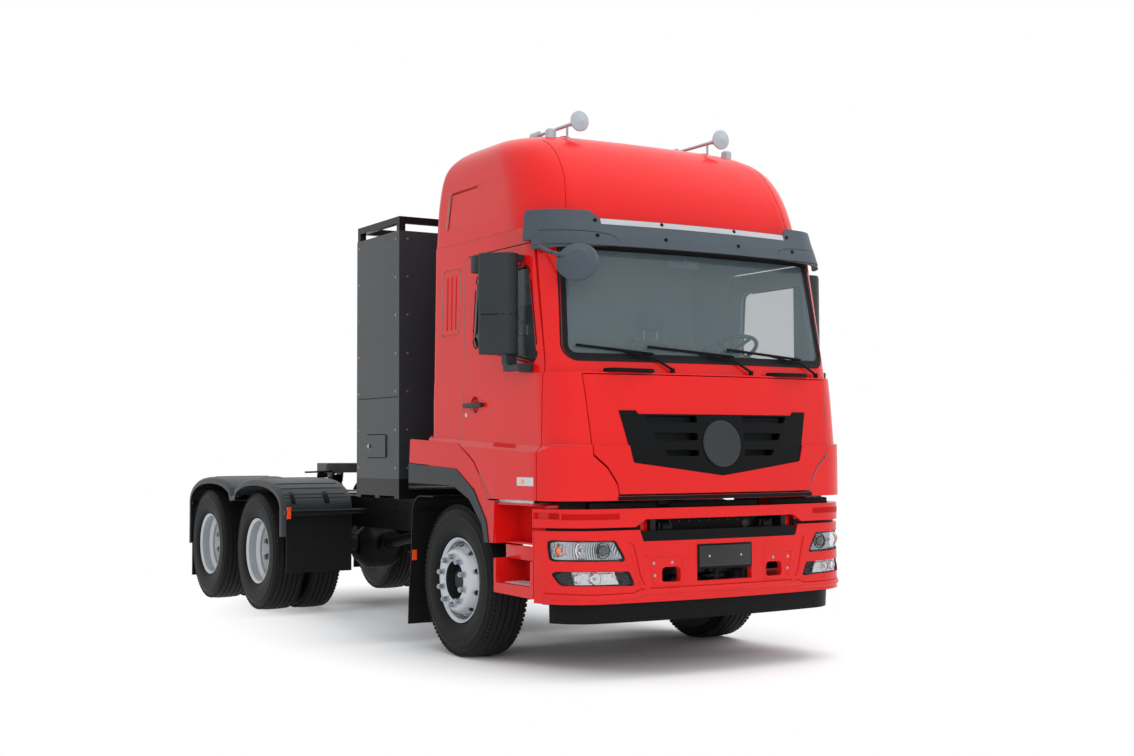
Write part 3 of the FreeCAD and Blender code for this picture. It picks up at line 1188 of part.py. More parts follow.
def horns():
    """Two air horns along the roof on their feet, with a small round lamp beside each."""
    pieces = []
    for side in (1, -1):
        y = side * HORN_Y
        bell = revolved([(0, 0), (68, 0), (62, -26), (22, -80), (13, -130), (11, -560), (0, -560)],
                        (HORN_BELL_X, y, HORN_Z), X_AXIS)
        end = rod((HORN_BELL_X - 640, y, HORN_Z), (HORN_BELL_X - 550, y, HORN_Z), 30)
        foot = rod((HORN_BELL_X - 170, y, 3580), (HORN_BELL_X - 170, y, HORN_Z), 9)
        rear_foot = rod((HORN_BELL_X - 590, y, 3580), (HORN_BELL_X - 590, y, HORN_Z), 14)
        dome = revolved([(0, 3580), (38, 3580), (38, 3670, 20), (0, 3680)], (0, 0, 0), Y_AXIS)
        dome.rotate(V(0, 0, 0), X_AXIS, 90)
        dome.translate(V(HORN_BELL_X - 140, side * 765, 0))
        pieces.append(fuse([bell, end, foot, rear_foot]))
        pieces.append(dome)
    return group(pieces).cut(roof_form())


def screen_front(y, z):
    """The windscreen's outer surface at a height and a distance from the middle."""
    (z0, front0, *rest), (z1, front1, *more) = SCREEN_LEVELS
    return front0 + (front1 - front0) * (z - z0) / (z1 - z0) - 12 - y * y / (2 * CROWN_RADIUS)


def wipers():
    """Three wipers that park along the bottom of the windscreen, each on a spindle in the cowl's top."""
    pieces = []
    for pivot_x, pivot_y, tip_y in ((1452, -325, -1000), (1452, 330, -480), (1390, 960, 165)):
        tip_z = 2125
        elbow_y = pivot_y - 120
        pivot = V(pivot_x, pivot_y, COWL_TOP_Z)
        head = pivot + V(0, 0, 34)
        elbow = V(screen_front(elbow_y, 2045) + 34, elbow_y, 2045)
        blade_start = V(screen_front(elbow_y, 2075) + 22, elbow_y, 2078)
        blade_end = V(screen_front(tip_y, tip_z) + 22, tip_y, tip_z)
        middle = (blade_start + blade_end) * 0.5
        pieces.append(fuse([rod(tuple(pivot), tuple(head), 16), rod(tuple(head - V(0, 0, 8)), tuple(elbow), 8),
                            rod(tuple(elbow), tuple(middle), 6), rod(tuple(blade_start), tuple(blade_end), 9)]))
    return group(pieces)


def build():
    os.makedirs("parts", exist_ok=True)
    outer = cab_outer()
    room = cab_interior()
    service = cowl_form(28).common(box(1405, 1700, -930, 930, 1195, FLAP_TOP_Z - 14))
    right_door = door_solid(outer, room)
    flares = both_sides(arch_flare())
    trims = both_sides(arch_trim())
    shell = outer.cut(fuse([room, service, screen_opening(), wheel_arch_cut()]))
    depth = 1400 - DOOR_INNER_Y + DOOR_GAP
    gaps = [side_prism(door_outline(DOOR_GAP), y0, y0 + depth) for y0 in (-1400, 1400 - depth)]
    shell = shell.cut(fuse(gaps + [front_prism(flap_outline(PANEL_GAP), FLAP_REAR_X - PANEL_GAP, 1700)]))
    shell = shell.cut(flares).cut(trims).cut(both_sides(vent_groove()))
    right_mirror = door_mirror()
    bumper_parts = group([bumper(), bumper_bar()])
    bumper_trims = group([bumper_lip(), valance()])
    lamps = lamp_units()

    save("cab_shell", shell)
    save("roof_cap", roof_cap())
    save("windscreen", windscreen())
    save("visor", fuse([visor().cut(outer), front_mirror()]))
    save("arch_flares", flares)
    save("arch_trims", trims)
    save("cab_hinge_arms", cab_hinge_arms())
    bed = bunk().common(room)
    save("dashboard", dashboard().common(room))
    save("bunk", bed)
    save("seats", group([seat(520), seat(-520)]).common(room).cut(bed))
    save("steering_wheel", steering_wheel())
    save("horns", horns())
    save("wipers", wipers())
    save("front_flap", front_flap(outer, service))
    save("grille", grille())
    save("door_right", fuse([right_door, door_handle()]))
    save("door_left", mirrored(fuse([right_door, door_handle()])))
    save("door_glass_right", door_glass())
    save("door_glass_left", mirrored(door_glass()))
    save("mirror_right", fuse([right_mirror, kerb_mirror()]))
    save("mirror_left", mirrored(right_mirror))

    save("bumper", bumper_parts)
    save("bumper_trims", bumper_trims)
    save("front_lamps", lamps)
    save("lower_steps", both_sides(lower_step()))
    save("front_beam", front_beam(group([bumper_parts, bumper_trims, lamps])))
    save("frame_rails", both_sides(frame_rail()))
    save("crossmembers", crossmembers())
    save("front_axle", front_axle())
    save("front_springs", front_springs())
    save("tie_rod", tie_rod())
    for side, name in ((1, "left"), (-1, "right")):
        tyre_shape, rim_shape = front_wheel(side)
        save("front_tyre_" + name, tyre_shape)
        save("front_rim_" + name, rim_shape)
        save("knuckle_" + name, knuckle(side))
        for number, x_axle in enumerate(REAR_AXLE_X, 1):
            tyres, rims = rear_wheels(x_axle, side)
            save("rear_tyres_%d_%s" % (number, name), tyres)
            save("rear_rims_%d_%s" % (number, name), rims)
    save("rear_axles", group([rear_axle(REAR_AXLE_X[0], 0, 60), rear_axle(REAR_AXLE_X[1], 60)]))
    save("bogie_suspension", bogie_suspension())
    save("drive_line", drive_line())
    save("air_tanks", air_tanks())
    save("side_boxes", side_box())
    save("rear_fenders", both_sides(rear_fender()))
    save("fender_supports", fender_supports())
    save("mudguards", mudguards())
    save("fifth_wheel_mount", fifth_wheel_mount())
    save("fifth_wheel_plate", fifth_wheel_plate())
    save("rack_frame", rack_frame())
    save("rack_panels", rack_panels())
    save("battery_block", battery_block())
    save("charge_door", charge_door())


build()
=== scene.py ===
# Looks of the tractor unit: its finishes, the studio, and the fine pieces that ride on the CAD frame.
# Metres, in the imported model's frame: +X forward, +Y to the truck's left, +Z up, ground at Z = 0.
import json
import math

import bmesh
import bpy
from mathutils import Matrix, Vector
from mathutils.bvhtree import BVHTree


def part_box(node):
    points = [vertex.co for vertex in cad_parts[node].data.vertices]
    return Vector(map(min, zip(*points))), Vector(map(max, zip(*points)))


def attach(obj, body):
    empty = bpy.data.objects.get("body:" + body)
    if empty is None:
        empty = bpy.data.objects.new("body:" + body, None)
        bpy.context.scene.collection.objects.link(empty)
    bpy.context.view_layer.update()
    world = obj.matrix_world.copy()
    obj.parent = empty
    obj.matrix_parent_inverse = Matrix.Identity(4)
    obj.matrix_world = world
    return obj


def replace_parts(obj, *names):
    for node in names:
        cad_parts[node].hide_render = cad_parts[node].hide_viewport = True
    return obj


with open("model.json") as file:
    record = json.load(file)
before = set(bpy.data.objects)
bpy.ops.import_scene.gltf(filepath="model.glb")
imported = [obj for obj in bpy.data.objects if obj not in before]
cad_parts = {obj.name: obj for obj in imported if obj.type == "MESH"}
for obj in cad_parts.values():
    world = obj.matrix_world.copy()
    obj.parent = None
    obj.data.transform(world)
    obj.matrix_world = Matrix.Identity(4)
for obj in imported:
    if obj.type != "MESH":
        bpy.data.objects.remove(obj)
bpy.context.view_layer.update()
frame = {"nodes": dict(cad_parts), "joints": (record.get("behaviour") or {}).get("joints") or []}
nodes = frame["nodes"]
joint_place = {joint["name"]: Vector(joint["pos_m"]) for joint in frame["joints"]}
SIDES = (("right", -1), ("left", 1))

# Every x in this script is measured from the front axle, as in the part's source.
AXLE_X = joint_place["steer_right"].x
AXLE_Z = joint_place["steer_right"].z


def at(x, y, z):
    return Vector((AXLE_X + x, y, z))


# Camera
# It stands ahead of the truck's right corner, at chest height, and looks slightly up.
CAMERA_PLACE = at(9.433, -6.096, 1.444)
CAMERA_YAW = math.radians(31.83)
CAMERA_LIFT = math.radians(2.8)
CAMERA_ROLL = math.radians(-0.25)
CAMERA_LENS = 47.58


def make_camera():
    data = bpy.data.cameras.new("photo_camera")
    data.lens = CAMERA_LENS
    data.sensor_width = 36
    data.clip_end = 300
    camera = bpy.data.objects.new("photo_camera", data)
    flat = math.cos(CAMERA_LIFT)
    look = Vector((-math.cos(CAMERA_YAW) * flat, math.sin(CAMERA_YAW) * flat, math.sin(CAMERA_LIFT)))
    turn = look.to_track_quat("-Z", "Y").to_matrix().to_4x4()
    camera.matrix_world = Matrix.Translation(CAMERA_PLACE) @ turn @ Matrix.Rotation(CAMERA_ROLL, 4, "Z")
    bpy.context.scene.collection.objects.link(camera)
    bpy.context.scene.camera = camera
    bpy.context.scene.view_settings.view_transform = "Standard"


make_camera()


# Finishes
# Each is a Principled shader whose colour, roughness and relief vary with noise at the real scale,
# and which gathers road dust towards the ground.
DUST = (0.30, 0.26, 0.21, 1)
DUST_HEIGHTS = (0.1, 1.3)
SPECKS_PER_PATCH = 23
COAT_ROUGHNESS = 0.03
BRUSHED = (1, 0.03, 1)


def add(tree, kind, **values):
    node = tree.nodes.new(kind)
    for key, value in values.items():
        node.inputs[key.replace("_", " ")].default_value = value
    return node


def noise(tree, place, scale, detail=3.0):
    node = add(tree, "ShaderNodeTexNoise", Scale=scale, Detail=detail)
    tree.links.new(place, node.inputs["Vector"])
    return node.outputs["Fac"]


def spread(tree, value, low, high, start=0.3, end=0.7):
    node = add(tree, "ShaderNodeMapRange", From_Min=start, From_Max=end, To_Min=low, To_Max=high)
    tree.links.new(value, node.inputs["Value"])
    return node.outputs["Result"]


def mix(tree, factor, first, second, blend="MIX"):
    node = tree.nodes.new("ShaderNodeMixRGB")
    node.blend_type = blend
    for socket, value in zip(node.inputs, (factor, first, second)):
        if isinstance(value, bpy.types.NodeSocket):
            tree.links.new(value, socket)
        else:
            socket.default_value = value
    return node.outputs["Color"]


def bands(tree, place, direction, scale):
    node = add(tree, "ShaderNodeTexWave", Scale=scale)
    node.bands_direction = direction
    tree.links.new(place, node.inputs["Vector"])
    return node.outputs["Fac"]


def relief(tree, place, kind, scale):
    """Height field of a surface: fine grain, woven cloth, brushed metal, ribs, cells or tyre sipes."""
    if kind == "weave":
        return mix(tree, 0.5, bands(tree, place, "X", scale), bands(tree, place, "Z", scale))
    if kind in ("X", "Y", "Z"):
        return bands(tree, place, kind, scale)
    if kind == "cells":
        node = add(tree, "ShaderNodeTexVoronoi", Scale=scale)
        tree.links.new(place, node.inputs["Vector"])
        return node.outputs["Distance"]
    if kind == "brushed":
        stretch = add(tree, "ShaderNodeMapping", Scale=BRUSHED)
        tree.links.new(place, stretch.inputs["Vector"])
        return noise(tree, stretch.outputs["Vector"], scale)
    return noise(tree, place, scale)


def finish(name, colour, roughness, metallic=0.0, coat=0.0, alpha=1.0, tone=0.06, patch=2.0, kind="grain",
           scale=300.0, depth=0.0002, dust=0.0, uv=False, glow=0.0, sheen=0.0, spotted=0.04, specular=0.5):
    """A procedural material. tone is the colour's spread over patches, depth the relief's height."""
    material = bpy.data.materials.new(name)
    material.use_nodes = True
    tree = material.node_tree
    shader = tree.nodes["Principled BSDF"]
    settings = {"Metallic": metallic, "Coat Weight": coat, "Coat Roughness": COAT_ROUGHNESS, "Alpha": alpha,
                "Specular IOR Level": specular, "Sheen Weight": sheen, "Emission Strength": glow,
                "Emission Color": (*colour, 1)}
    for socket, value in settings.items():
        shader.inputs[socket].default_value = value
    coordinates = tree.nodes.new("ShaderNodeTexCoord")
    place = coordinates.outputs["Object"]
    patches = noise(tree, place, patch)
    specks = noise(tree, place, patch * SPECKS_PER_PATCH, 5.0)
    base = mix(tree, 1.0, (*colour, 1), spread(tree, patches, 1 - tone, 1 + tone), "MULTIPLY")
    base = mix(tree, 0.5, base, mix(tree, 1.0, base, spread(tree, specks, 1 - tone, 1 + tone), "MULTIPLY"))
    if dust:
        split = tree.nodes.new("ShaderNodeSeparateXYZ")
        tree.links.new(place, split.inputs["Vector"])
        low = spread(tree, split.outputs["Z"], dust, dust * 0.15, *DUST_HEIGHTS)
        share = mix(tree, 1.0, low, spread(tree, specks, 0.2, 1.5), "MULTIPLY")
        base = mix(tree, share, base, DUST)
    tree.links.new(base, shader.inputs["Base Color"])
    spots = spread(tree, specks, max(roughness - spotted, 0.0), roughness + spotted)
    tree.links.new(spots, shader.inputs["Roughness"])
    height = relief(tree, coordinates.outputs["UV"] if uv else place, kind, scale)
    bump = add(tree, "ShaderNodeBump", Strength=1.0, Distance=depth)
    tree.links.new(height, bump.inputs["Height"])
    tree.links.new(bump.outputs["Normal"], shader.inputs["Normal"])
    return material


FINISHES = {
    "red_paint": {
        "red_paint": dict(colour=(0.66, 0.004, 0.004), roughness=0.42, coat=0.50, tone=0.02, scale=260,
                          depth=0.00003, dust=0.02, specular=0.10)},
    "red_moulding": {
        "red_moulding": dict(colour=(0.64, 0.004, 0.004), roughness=0.45, coat=0.45, tone=0.03, scale=420,
                             depth=0.00004, dust=0.03, specular=0.10),
        # red_shadow is a darker red that paints shade: in the bumper bar's recess, beside its crease and lip,
        # and along the roof's joints and panel edges.
        "red_shadow": dict(colour=(0.42, 0.004, 0.003), roughness=0.5, tone=0.05, depth=0.0001,
                           specular=0.1)},
    "frame_paint": {
        "black_paint": dict(colour=(0.004, 0.0045, 0.005), roughness=0.34, tone=0.15, scale=180, dust=0.014,
                            specular=0.22),
        "rack_paint": dict(colour=(0.018, 0.026, 0.031), roughness=0.34, tone=0.10, patch=1.2, scale=240,
                           depth=0.0001, dust=0.01, specular=0.4)},
    "grey_moulding": {
        "grey_plastic": dict(colour=(0.015, 0.020, 0.024), roughness=0.48, tone=0.08, scale=900, depth=0.0003,
                             dust=0.02, specular=0.35),
        "black_plastic": dict(colour=(0.0035, 0.004, 0.0045), roughness=0.45, tone=0.10, scale=800,
                              dust=0.008, specular=0.10),
        "visor_plastic": dict(colour=(0.048, 0.062, 0.078), roughness=0.46, tone=0.08, scale=900,
                              depth=0.0003, dust=0.01, specular=0.35),
        "fender_plastic": dict(colour=(0.020, 0.024, 0.029), roughness=0.46, tone=0.08, scale=700,
                               depth=0.0003, dust=0.03, specular=0.4),
        "bezel_grey": dict(colour=(0.022, 0.024, 0.027), roughness=0.36, metallic=0.3, tone=0.08, scale=600)},
    "rim_paint": {
        "rim_paint": dict(colour=(0.55, 0.58, 0.61), roughness=0.34, metallic=0.35, tone=0.05, scale=260,
                          depth=0.0001, dust=0.08)},
    "cast_steel": {
        "hub_iron": dict(colour=(0.016, 0.018, 0.020), roughness=0.50, metallic=0.3, tone=0.20, scale=160,
                         depth=0.0010, dust=0.03, specular=0.3),
        "cast_iron": dict(colour=(0.006, 0.0065, 0.007), roughness=0.50, metallic=0.1, tone=0.20, scale=140,
                          depth=0.0010, dust=0.02, specular=0.2),
        "spring_steel": dict(colour=(0.009, 0.009, 0.010), roughness=0.46, metallic=0.3, tone=0.20,
                             kind="brushed", scale=200, depth=0.0006, dust=0.025, specular=0.25),
        "greased_steel": dict(colour=(0.014, 0.014, 0.013), roughness=0.28, metallic=0.4, tone=0.35, patch=7,
                              scale=60, depth=0.0006, dust=0.05)},
    "bright_metal": {
        "nut_steel": dict(colour=(0.40, 0.45, 0.52), roughness=0.36, metallic=0.7, tone=0.10, scale=500,
                          depth=0.0001, dust=0.15),
        "bright_steel": dict(colour=(0.55, 0.56, 0.58), roughness=0.32, metallic=0.85, tone=0.08,
                             kind="brushed"),
        "tread_alloy": dict(colour=(0.62, 0.63, 0.65), roughness=0.42, metallic=0.75, tone=0.15, patch=12,
                            kind="cells", scale=90, depth=0.0015, dust=0.10),
        "brass": dict(colour=(0.55, 0.33, 0.12), roughness=0.35, metallic=0.9, tone=0.20),
        "horn_silver": dict(colour=(0.42, 0.45, 0.49), roughness=0.34, metallic=0.5, scale=40, depth=0.0),
        "reflector": dict(colour=(0.42, 0.45, 0.48), roughness=0.20, metallic=0.9, kind="Y", scale=22,
                          depth=0.004),
        "fog_reflector": dict(colour=(0.60, 0.62, 0.64), roughness=0.24, metallic=0.8, kind="cells", scale=70,
                              depth=0.004),
        "plate_black": dict(colour=(0.006, 0.006, 0.006), roughness=0.30, tone=0.10, scale=200, depth=0.0001,
                            dust=0.02)},
    "tyre": {
        "sidewall": dict(colour=(0.0035, 0.004, 0.004), roughness=0.52, tone=0.18, patch=3, scale=120,
                         depth=0.0004, dust=0.008, specular=0.12),
        "tread_rubber": dict(colour=(0.005, 0.005, 0.005), roughness=0.66, tone=0.22, patch=4, kind="X",
                             scale=34, depth=0.0010, dust=0.018, uv=True, specular=0.2)},
    "rubber": {
        "flap_rubber": dict(colour=(0.005, 0.0055, 0.006), roughness=0.48, tone=0.12, kind="Z", scale=9,
                            depth=0.0008, dust=0.012, specular=0.2),
        "seal_rubber": dict(colour=(0.005, 0.005, 0.006), roughness=0.55, tone=0.10, scale=500,
                            specular=0.2)},
    "glass": {
        # The windscreen glass's blue-grey colour is partly its tint and partly a painted reflection of the
        # sky.
        "glass": dict(colour=(0.125, 0.18, 0.205), roughness=0.02, coat=1, alpha=0.30, tone=0.02, patch=0.4,
                      scale=1, depth=0.0, spotted=0.0),
        "side_glass": dict(colour=(0.09, 0.12, 0.13), roughness=0.02, coat=1, alpha=0.16, tone=0.02,
                           patch=0.4, scale=1, depth=0.0, spotted=0.0),
        "mirror_glass": dict(colour=(0.72, 0.75, 0.78), roughness=0.02, metallic=1, tone=0.02, scale=3,
                             depth=0.0, spotted=0.005)},
    "lamp_lens": {
        "lens": dict(colour=(0.55, 0.60, 0.64), roughness=0.03, coat=1, alpha=0.05, tone=0.02, patch=0.5,
                     scale=60, depth=0.0, spotted=0.0),
        "chrome": dict(colour=(0.80, 0.81, 0.83), roughness=0.09, metallic=1, tone=0.03, kind="X", scale=16,
                       depth=0.0008),
        "amber": dict(colour=(0.85, 0.16, 0.01), roughness=0.18, coat=1, kind="cells", scale=160,
                      depth=0.0010, glow=0.10),
        # The side reflectors' faint glow is painted light: they are no lamps.
        "side_reflector_painted_glow": dict(colour=(0.80, 0.07, 0.008), roughness=0.20, coat=1, kind="cells", scale=160,
                               depth=0.0010, glow=0.10),
        "red_lens": dict(colour=(0.55, 0.01, 0.01), roughness=0.15, coat=1, kind="cells", scale=140,
                         depth=0.0010, glow=0.05),
        "dark_glass": dict(colour=(0.02, 0.022, 0.025), roughness=0.05, coat=1, tone=0.05, scale=30,
                           depth=0.0),
        "lens_cover": dict(colour=(0.50, 0.52, 0.54), roughness=0.12, coat=1, kind="cells", scale=150,
                           depth=0.0008)},
    "interior": {
        "lining": dict(colour=(0.30, 0.31, 0.31), roughness=0.85, tone=0.07, kind="weave", scale=160,
                       depth=0.0006),
        "dash_plastic": dict(colour=(0.10, 0.105, 0.11), roughness=0.62, tone=0.08, scale=700, depth=0.0005),
        "seat_edge": dict(colour=(0.030, 0.031, 0.033), roughness=0.55, tone=0.10, scale=420, depth=0.0005,
                          coat=0.1)},
    "seat_cloth": {
        "seat_cloth": dict(colour=(0.085, 0.090, 0.098), roughness=0.90, tone=0.14, kind="weave", scale=190,
                           depth=0.0010, sheen=0.3),
        "bed_cloth": dict(colour=(0.20, 0.21, 0.23), roughness=0.92, tone=0.10, kind="weave", scale=150,
                          depth=0.0012, sheen=0.4)},
}
finishes = {name: finish(name, **values) for group in FINISHES.values() for name, values in group.items()}


# The studio
# A pale floor without edges, a white surround that is brighter overhead, and one large soft light above.
FLOOR_SIZE = 160
FADE_STRETCH = (0.5, 1, 1)
FADE_CENTRE = (0.55, -0.25, 0)
FADE_BAND = (1.35, 2.35)
SKY_LOW, SKY_HIGH = (0.42, 0.43, 0.45, 1), (0.85, 0.87, 0.90, 1)
WHITE = (1, 1, 1, 1)
SOFT_LIGHTS = (("soft_top", (1.0, 3.0, 10.0), 8.0, 700), ("soft_front", (9.0, -5.0, 4.0), 5.0, 330))


def straight_rays(tree):
    """Picks out what the camera sees, also in a reflection or through glass."""
    rays = tree.nodes.new("ShaderNodeLightPath")
    straight = mix(tree, 1.0, rays.outputs["Is Camera Ray"], rays.outputs["Is Glossy Ray"], "ADD")
    return mix(tree, 1.0, straight, rays.outputs["Is Transmission Ray"], "ADD")


def fade_to_white(material):
    """Away from the truck the floor's own colour, as seen, turns into the white of the surround."""
    tree = material.node_tree
    shader = tree.nodes["Principled BSDF"]
    shrunk = add(tree, "ShaderNodeMapping", Scale=FADE_STRETCH, Location=FADE_CENTRE)
    tree.links.new(tree.nodes.new("ShaderNodeTexCoord").outputs["Object"], shrunk.inputs["Vector"])
    away = tree.nodes.new("ShaderNodeVectorMath")
    away.operation = "LENGTH"
    tree.links.new(shrunk.outputs["Vector"], away.inputs[0])
    share = spread(tree, away.outputs["Value"], 0.0, 1.0, *FADE_BAND)
    factor = mix(tree, 1.0, share, straight_rays(tree), "MULTIPLY")
    white = add(tree, "ShaderNodeEmission", Color=WHITE, Strength=1.0)
    blend = tree.nodes.new("ShaderNodeMixShader")
    for socket, output in zip(blend.inputs, (factor, shader.outputs[0], white.outputs[0])):
        tree.links.new(output, socket)
    tree.links.new(blend.outputs[0], tree.nodes["Material Output"].inputs["Surface"])


def make_studio():
    floor_finish = finish("floor_finish", (0.92, 0.92, 0.92), 0.75, tone=0.01, scale=40.0, depth=0.0)
    fade_to_white(floor_finish)
    bpy.ops.mesh.primitive_plane_add(size=FLOOR_SIZE, location=(AXLE_X, 0, 0))
    floor = bpy.context.object
    floor.name = "studio_floor"
    floor.data.materials.append(floor_finish)
    world = bpy.data.worlds.new("studio")
    bpy.context.scene.world = world
    world.use_nodes = True
    tree = world.node_tree
    direction = tree.nodes.new("ShaderNodeTexCoord").outputs["Generated"]
    split = tree.nodes.new("ShaderNodeSeparateXYZ")
    tree.links.new(direction, split.inputs["Vector"])
    sky = mix(tree, spread(tree, split.outputs["Z"], 0.0, 1.0, -0.05, 0.8), SKY_LOW, SKY_HIGH)
    tree.links.new(mix(tree, straight_rays(tree), sky, WHITE), tree.nodes["Background"].inputs["Color"])
    for name, spot, size, power in SOFT_LIGHTS:
        light = bpy.data.lights.new(name, "AREA")
        light.energy = power
        light.size = size
        lamp = bpy.data.objects.new(name, light)
        lamp.location = at(*spot)
        lamp.visible_glossy = False
        lamp.rotation_euler = (at(-1.0, 0, 1.5) - lamp.location).to_track_quat("-Z", "Y").to_euler()
        bpy.context.scene.collection.objects.link(lamp)


make_studio()


# Finishes of the CAD nodes
# Some nodes carry two finishes: paint outside and lining inside, a bright rim round a dark hub. The rims'
# faces inboard of the disc get dark iron as painted shade.
CAB_MIDDLE = at(0.55, 0, 2.1)
HUB_RADIUS = 0.138
WELL_RADIUS = 0.207
FRONT_WELL_Y = 1.06
REAR_WELL_Y = 0.885
HAND_HOLE_WELL = (0.279, 1.056)
WHEEL_X = {"rear_" + number: joint_place["rear_wheels_%s_left_roll" % number].x - AXLE_X for number in "12"}
PLAIN_NODES = {
    "red_moulding": "bumper arch_flares lower_steps",
    "visor_plastic": "visor",
    "grey_plastic": "mirror_right mirror_left arch_trims side_boxes",
    "black_plastic": "grille bumper_trims wipers",
    "fender_plastic": "rear_fenders",
    "flap_rubber": "mudguards",
    "black_paint": "front_beam frame_rails crossmembers air_tanks fender_supports rack_frame "
                   "fifth_wheel_mount battery_block",
    "rack_paint": "rack_panels charge_door",
    "cast_iron": "front_axle tie_rod knuckle_left knuckle_right rear_axles cab_hinge_arms drive_line",
    "spring_steel": "front_springs bogie_suspension",
    "greased_steel": "fifth_wheel_plate",
    "glass": "windscreen",
    "side_glass": "door_glass_right door_glass_left",
    "lens": "front_lamps",
    "horn_silver": "horns",
    "dash_plastic": "dashboard",
}


def paint(name, main, *others):
    """Gives a CAD node its finish. Each of others is (finish, test of a face's middle and normal)."""
    mesh = nodes[name].data
    mesh.materials.clear()
    mesh.materials.append(finishes[main])
    for other, _ in others:
        mesh.materials.append(finishes[other])
    for face in mesh.polygons:
        face.material_index = 0
        for index, (_, test) in enumerate(others, 1):
            if test(face.center - at(0, 0, 0), face.normal):
                face.material_index = index


def faces_inside(middle, normal):
    return (middle + at(0, 0, 0) - CAB_MIDDLE).dot(normal) < -0.02


def underside(middle, normal):
    return normal.z < -0.6 and middle.z < 1.4


def service_bay(middle, normal):
    """The cab's front wall, which the front flap covers."""
    return 1.38 < middle.x < 1.425 and abs(middle.y) < 0.94 and 1.18 < middle.z < 1.94


def facing_back(middle, normal):
    return normal.x < -0.5


def within(radius, reach, wheel_x=0.0):
    """Test for faces near a wheel's axis and less than reach from the truck's middle plane."""
    def test(middle, normal):
        return math.hypot(middle.x - wheel_x, middle.z - AXLE_Z) < radius and abs(middle.y) < reach
    return test


def paint_nodes():
    for name in ("cab_shell", "roof_cap", "door_right", "door_left"):
        paint(name, "red_paint", ("lining", faces_inside), ("black_plastic", underside),
              ("black_plastic", service_bay))
    paint("front_flap", "red_moulding", ("black_plastic", facing_back))
    for main, names in PLAIN_NODES.items():
        for name in names.split():
            paint(name, main)
    for side, _ in SIDES:
        # The rims' faces inboard of the disc, seen through the hand holes and between the twin rear rims, get
        # dark iron as painted shade.
        paint("front_rim_" + side, "rim_paint", ("cast_iron", within(*HAND_HOLE_WELL)),
              ("hub_iron", within(HUB_RADIUS, 2)), ("cast_iron", within(WELL_RADIUS, FRONT_WELL_Y)))
        for wheel, x in WHEEL_X.items():
            paint("rear_rims_%s_%s" % (wheel[-1], side), "rim_paint",
                  ("cast_iron", within(2, REAR_WELL_Y, x)),
                  ("hub_iron", within(HUB_RADIUS, 2, x)), ("cast_iron", within(WELL_RADIUS, REAR_WELL_Y, x)))


paint_nodes()


# Ways of making pieces
# A shape is (vertices, faces), and a piece joins any number of shapes. What lies on a CAD surface is found
# along sight lines from outside it: each is a start and a direction, and meets it at (place, normal).
AHEAD = 2.4
ASIDE = 2.0
UP = (0, 0, 1)
ALONG = (1, 0, 0)
BED = 0.001


def ride(item, body):
    bpy.context.scene.collection.objects.link(item)
    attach(item, body)
    return item


def join(shapes):
    vertices, faces = [], []
    for more_vertices, more_faces in shapes:
        start = len(vertices)
        vertices += more_vertices
        faces += [[i + start for i in face] for face in more_faces]
    return vertices, faces


def piece(name, shapes, material, body, sharp=35):
    vertices, faces = join(shapes)
    mesh = bpy.data.meshes.new(name)
    mesh.from_pydata([tuple(v) for v in vertices], [], faces)
    shape = bmesh.new()
    shape.from_mesh(mesh)
    bmesh.ops.recalc_face_normals(shape, faces=shape.faces)
    shape.to_mesh(mesh)
    shape.free()
    mesh.materials.append(finishes[material])
    mesh.shade_smooth()
    mesh.set_sharp_from_angle(angle=math.radians(sharp))
    return ride(bpy.data.objects.new(name, mesh), body)


def moved(shape, matrix):
    return [matrix @ Vector(v) for v in shape[0]], shape[1]


def aim(place, normal):
    """Matrix that stands a shape's +Z along a normal at a place."""
    return Matrix.Translation(place) @ Vector(normal).to_track_quat("Z", "Y").to_matrix().to_4x4()


def lattice(rows, wide, loop=False, tube=False):
    """Faces between rows of points. loop joins the last row to the first, tube each row's two ends."""
    return [[i * wide + j, (i + 1) % rows * wide + j, (i + 1) % rows * wide + (j + 1) % wide,
             i * wide + (j + 1) % wide]
            for i in range(rows if loop else rows - 1) for j in range(wide if tube else wide - 1)]


def turned(profile, segments=24, matrix=Matrix(), first=0.0):
    """A turned shape about +Z. The profile is (radius, height) from one end to the other."""
    vertices = []
    rings = []
    for radius, height in profile:
        if radius < 1e-6:
            rings.append([len(vertices)] * segments)
            vertices.append((0, 0, height))
            continue
        rings.append([len(vertices) + i for i in range(segments)])
        for i in range(segments):
            angle = first + 2 * math.pi * i / segments
            vertices.append((radius * math.cos(angle), radius * math.sin(angle), height))
    faces = []
    for low, high in zip(rings, rings[1:]):
        for i in range(segments):
            j = (i + 1) % segments
            corner = [low[i], low[j], high[j], high[i]]
            face = [v for k, v in enumerate(corner) if v != corner[k - 1]]
            if len(face) > 2:
                faces.append(face)
    return moved((vertices, faces), matrix)


def block(corner, other, bevel=0.003, segments=2):
    """A box between two corners with rounded edges."""
    shape = bmesh.new()
    bmesh.ops.create_cube(shape, size=1)
    low, high = [Vector(map(end, corner, other)) for end in (min, max)]
    for vertex in shape.verts:
        vertex.co = Vector([(a + b) / 2 + c * (b - a) for a, b, c in zip(low, high, vertex.co)])
    bmesh.ops.bevel(shape, geom=shape.edges[:], offset=bevel, segments=segments, profile=0.5, affect="EDGES")
    shape.verts.index_update()
    result = [v.co.copy() for v in shape.verts], [[v.index for v in f.verts] for f in shape.faces]
    shape.free()
    return result


def boxed(name, low, high, material, body, bevel=0.003, segments=2):
    """One rounded box, between two places measured from the front axle."""
    return piece(name, [block(at(*low), at(*high), bevel, segments)], material, body)


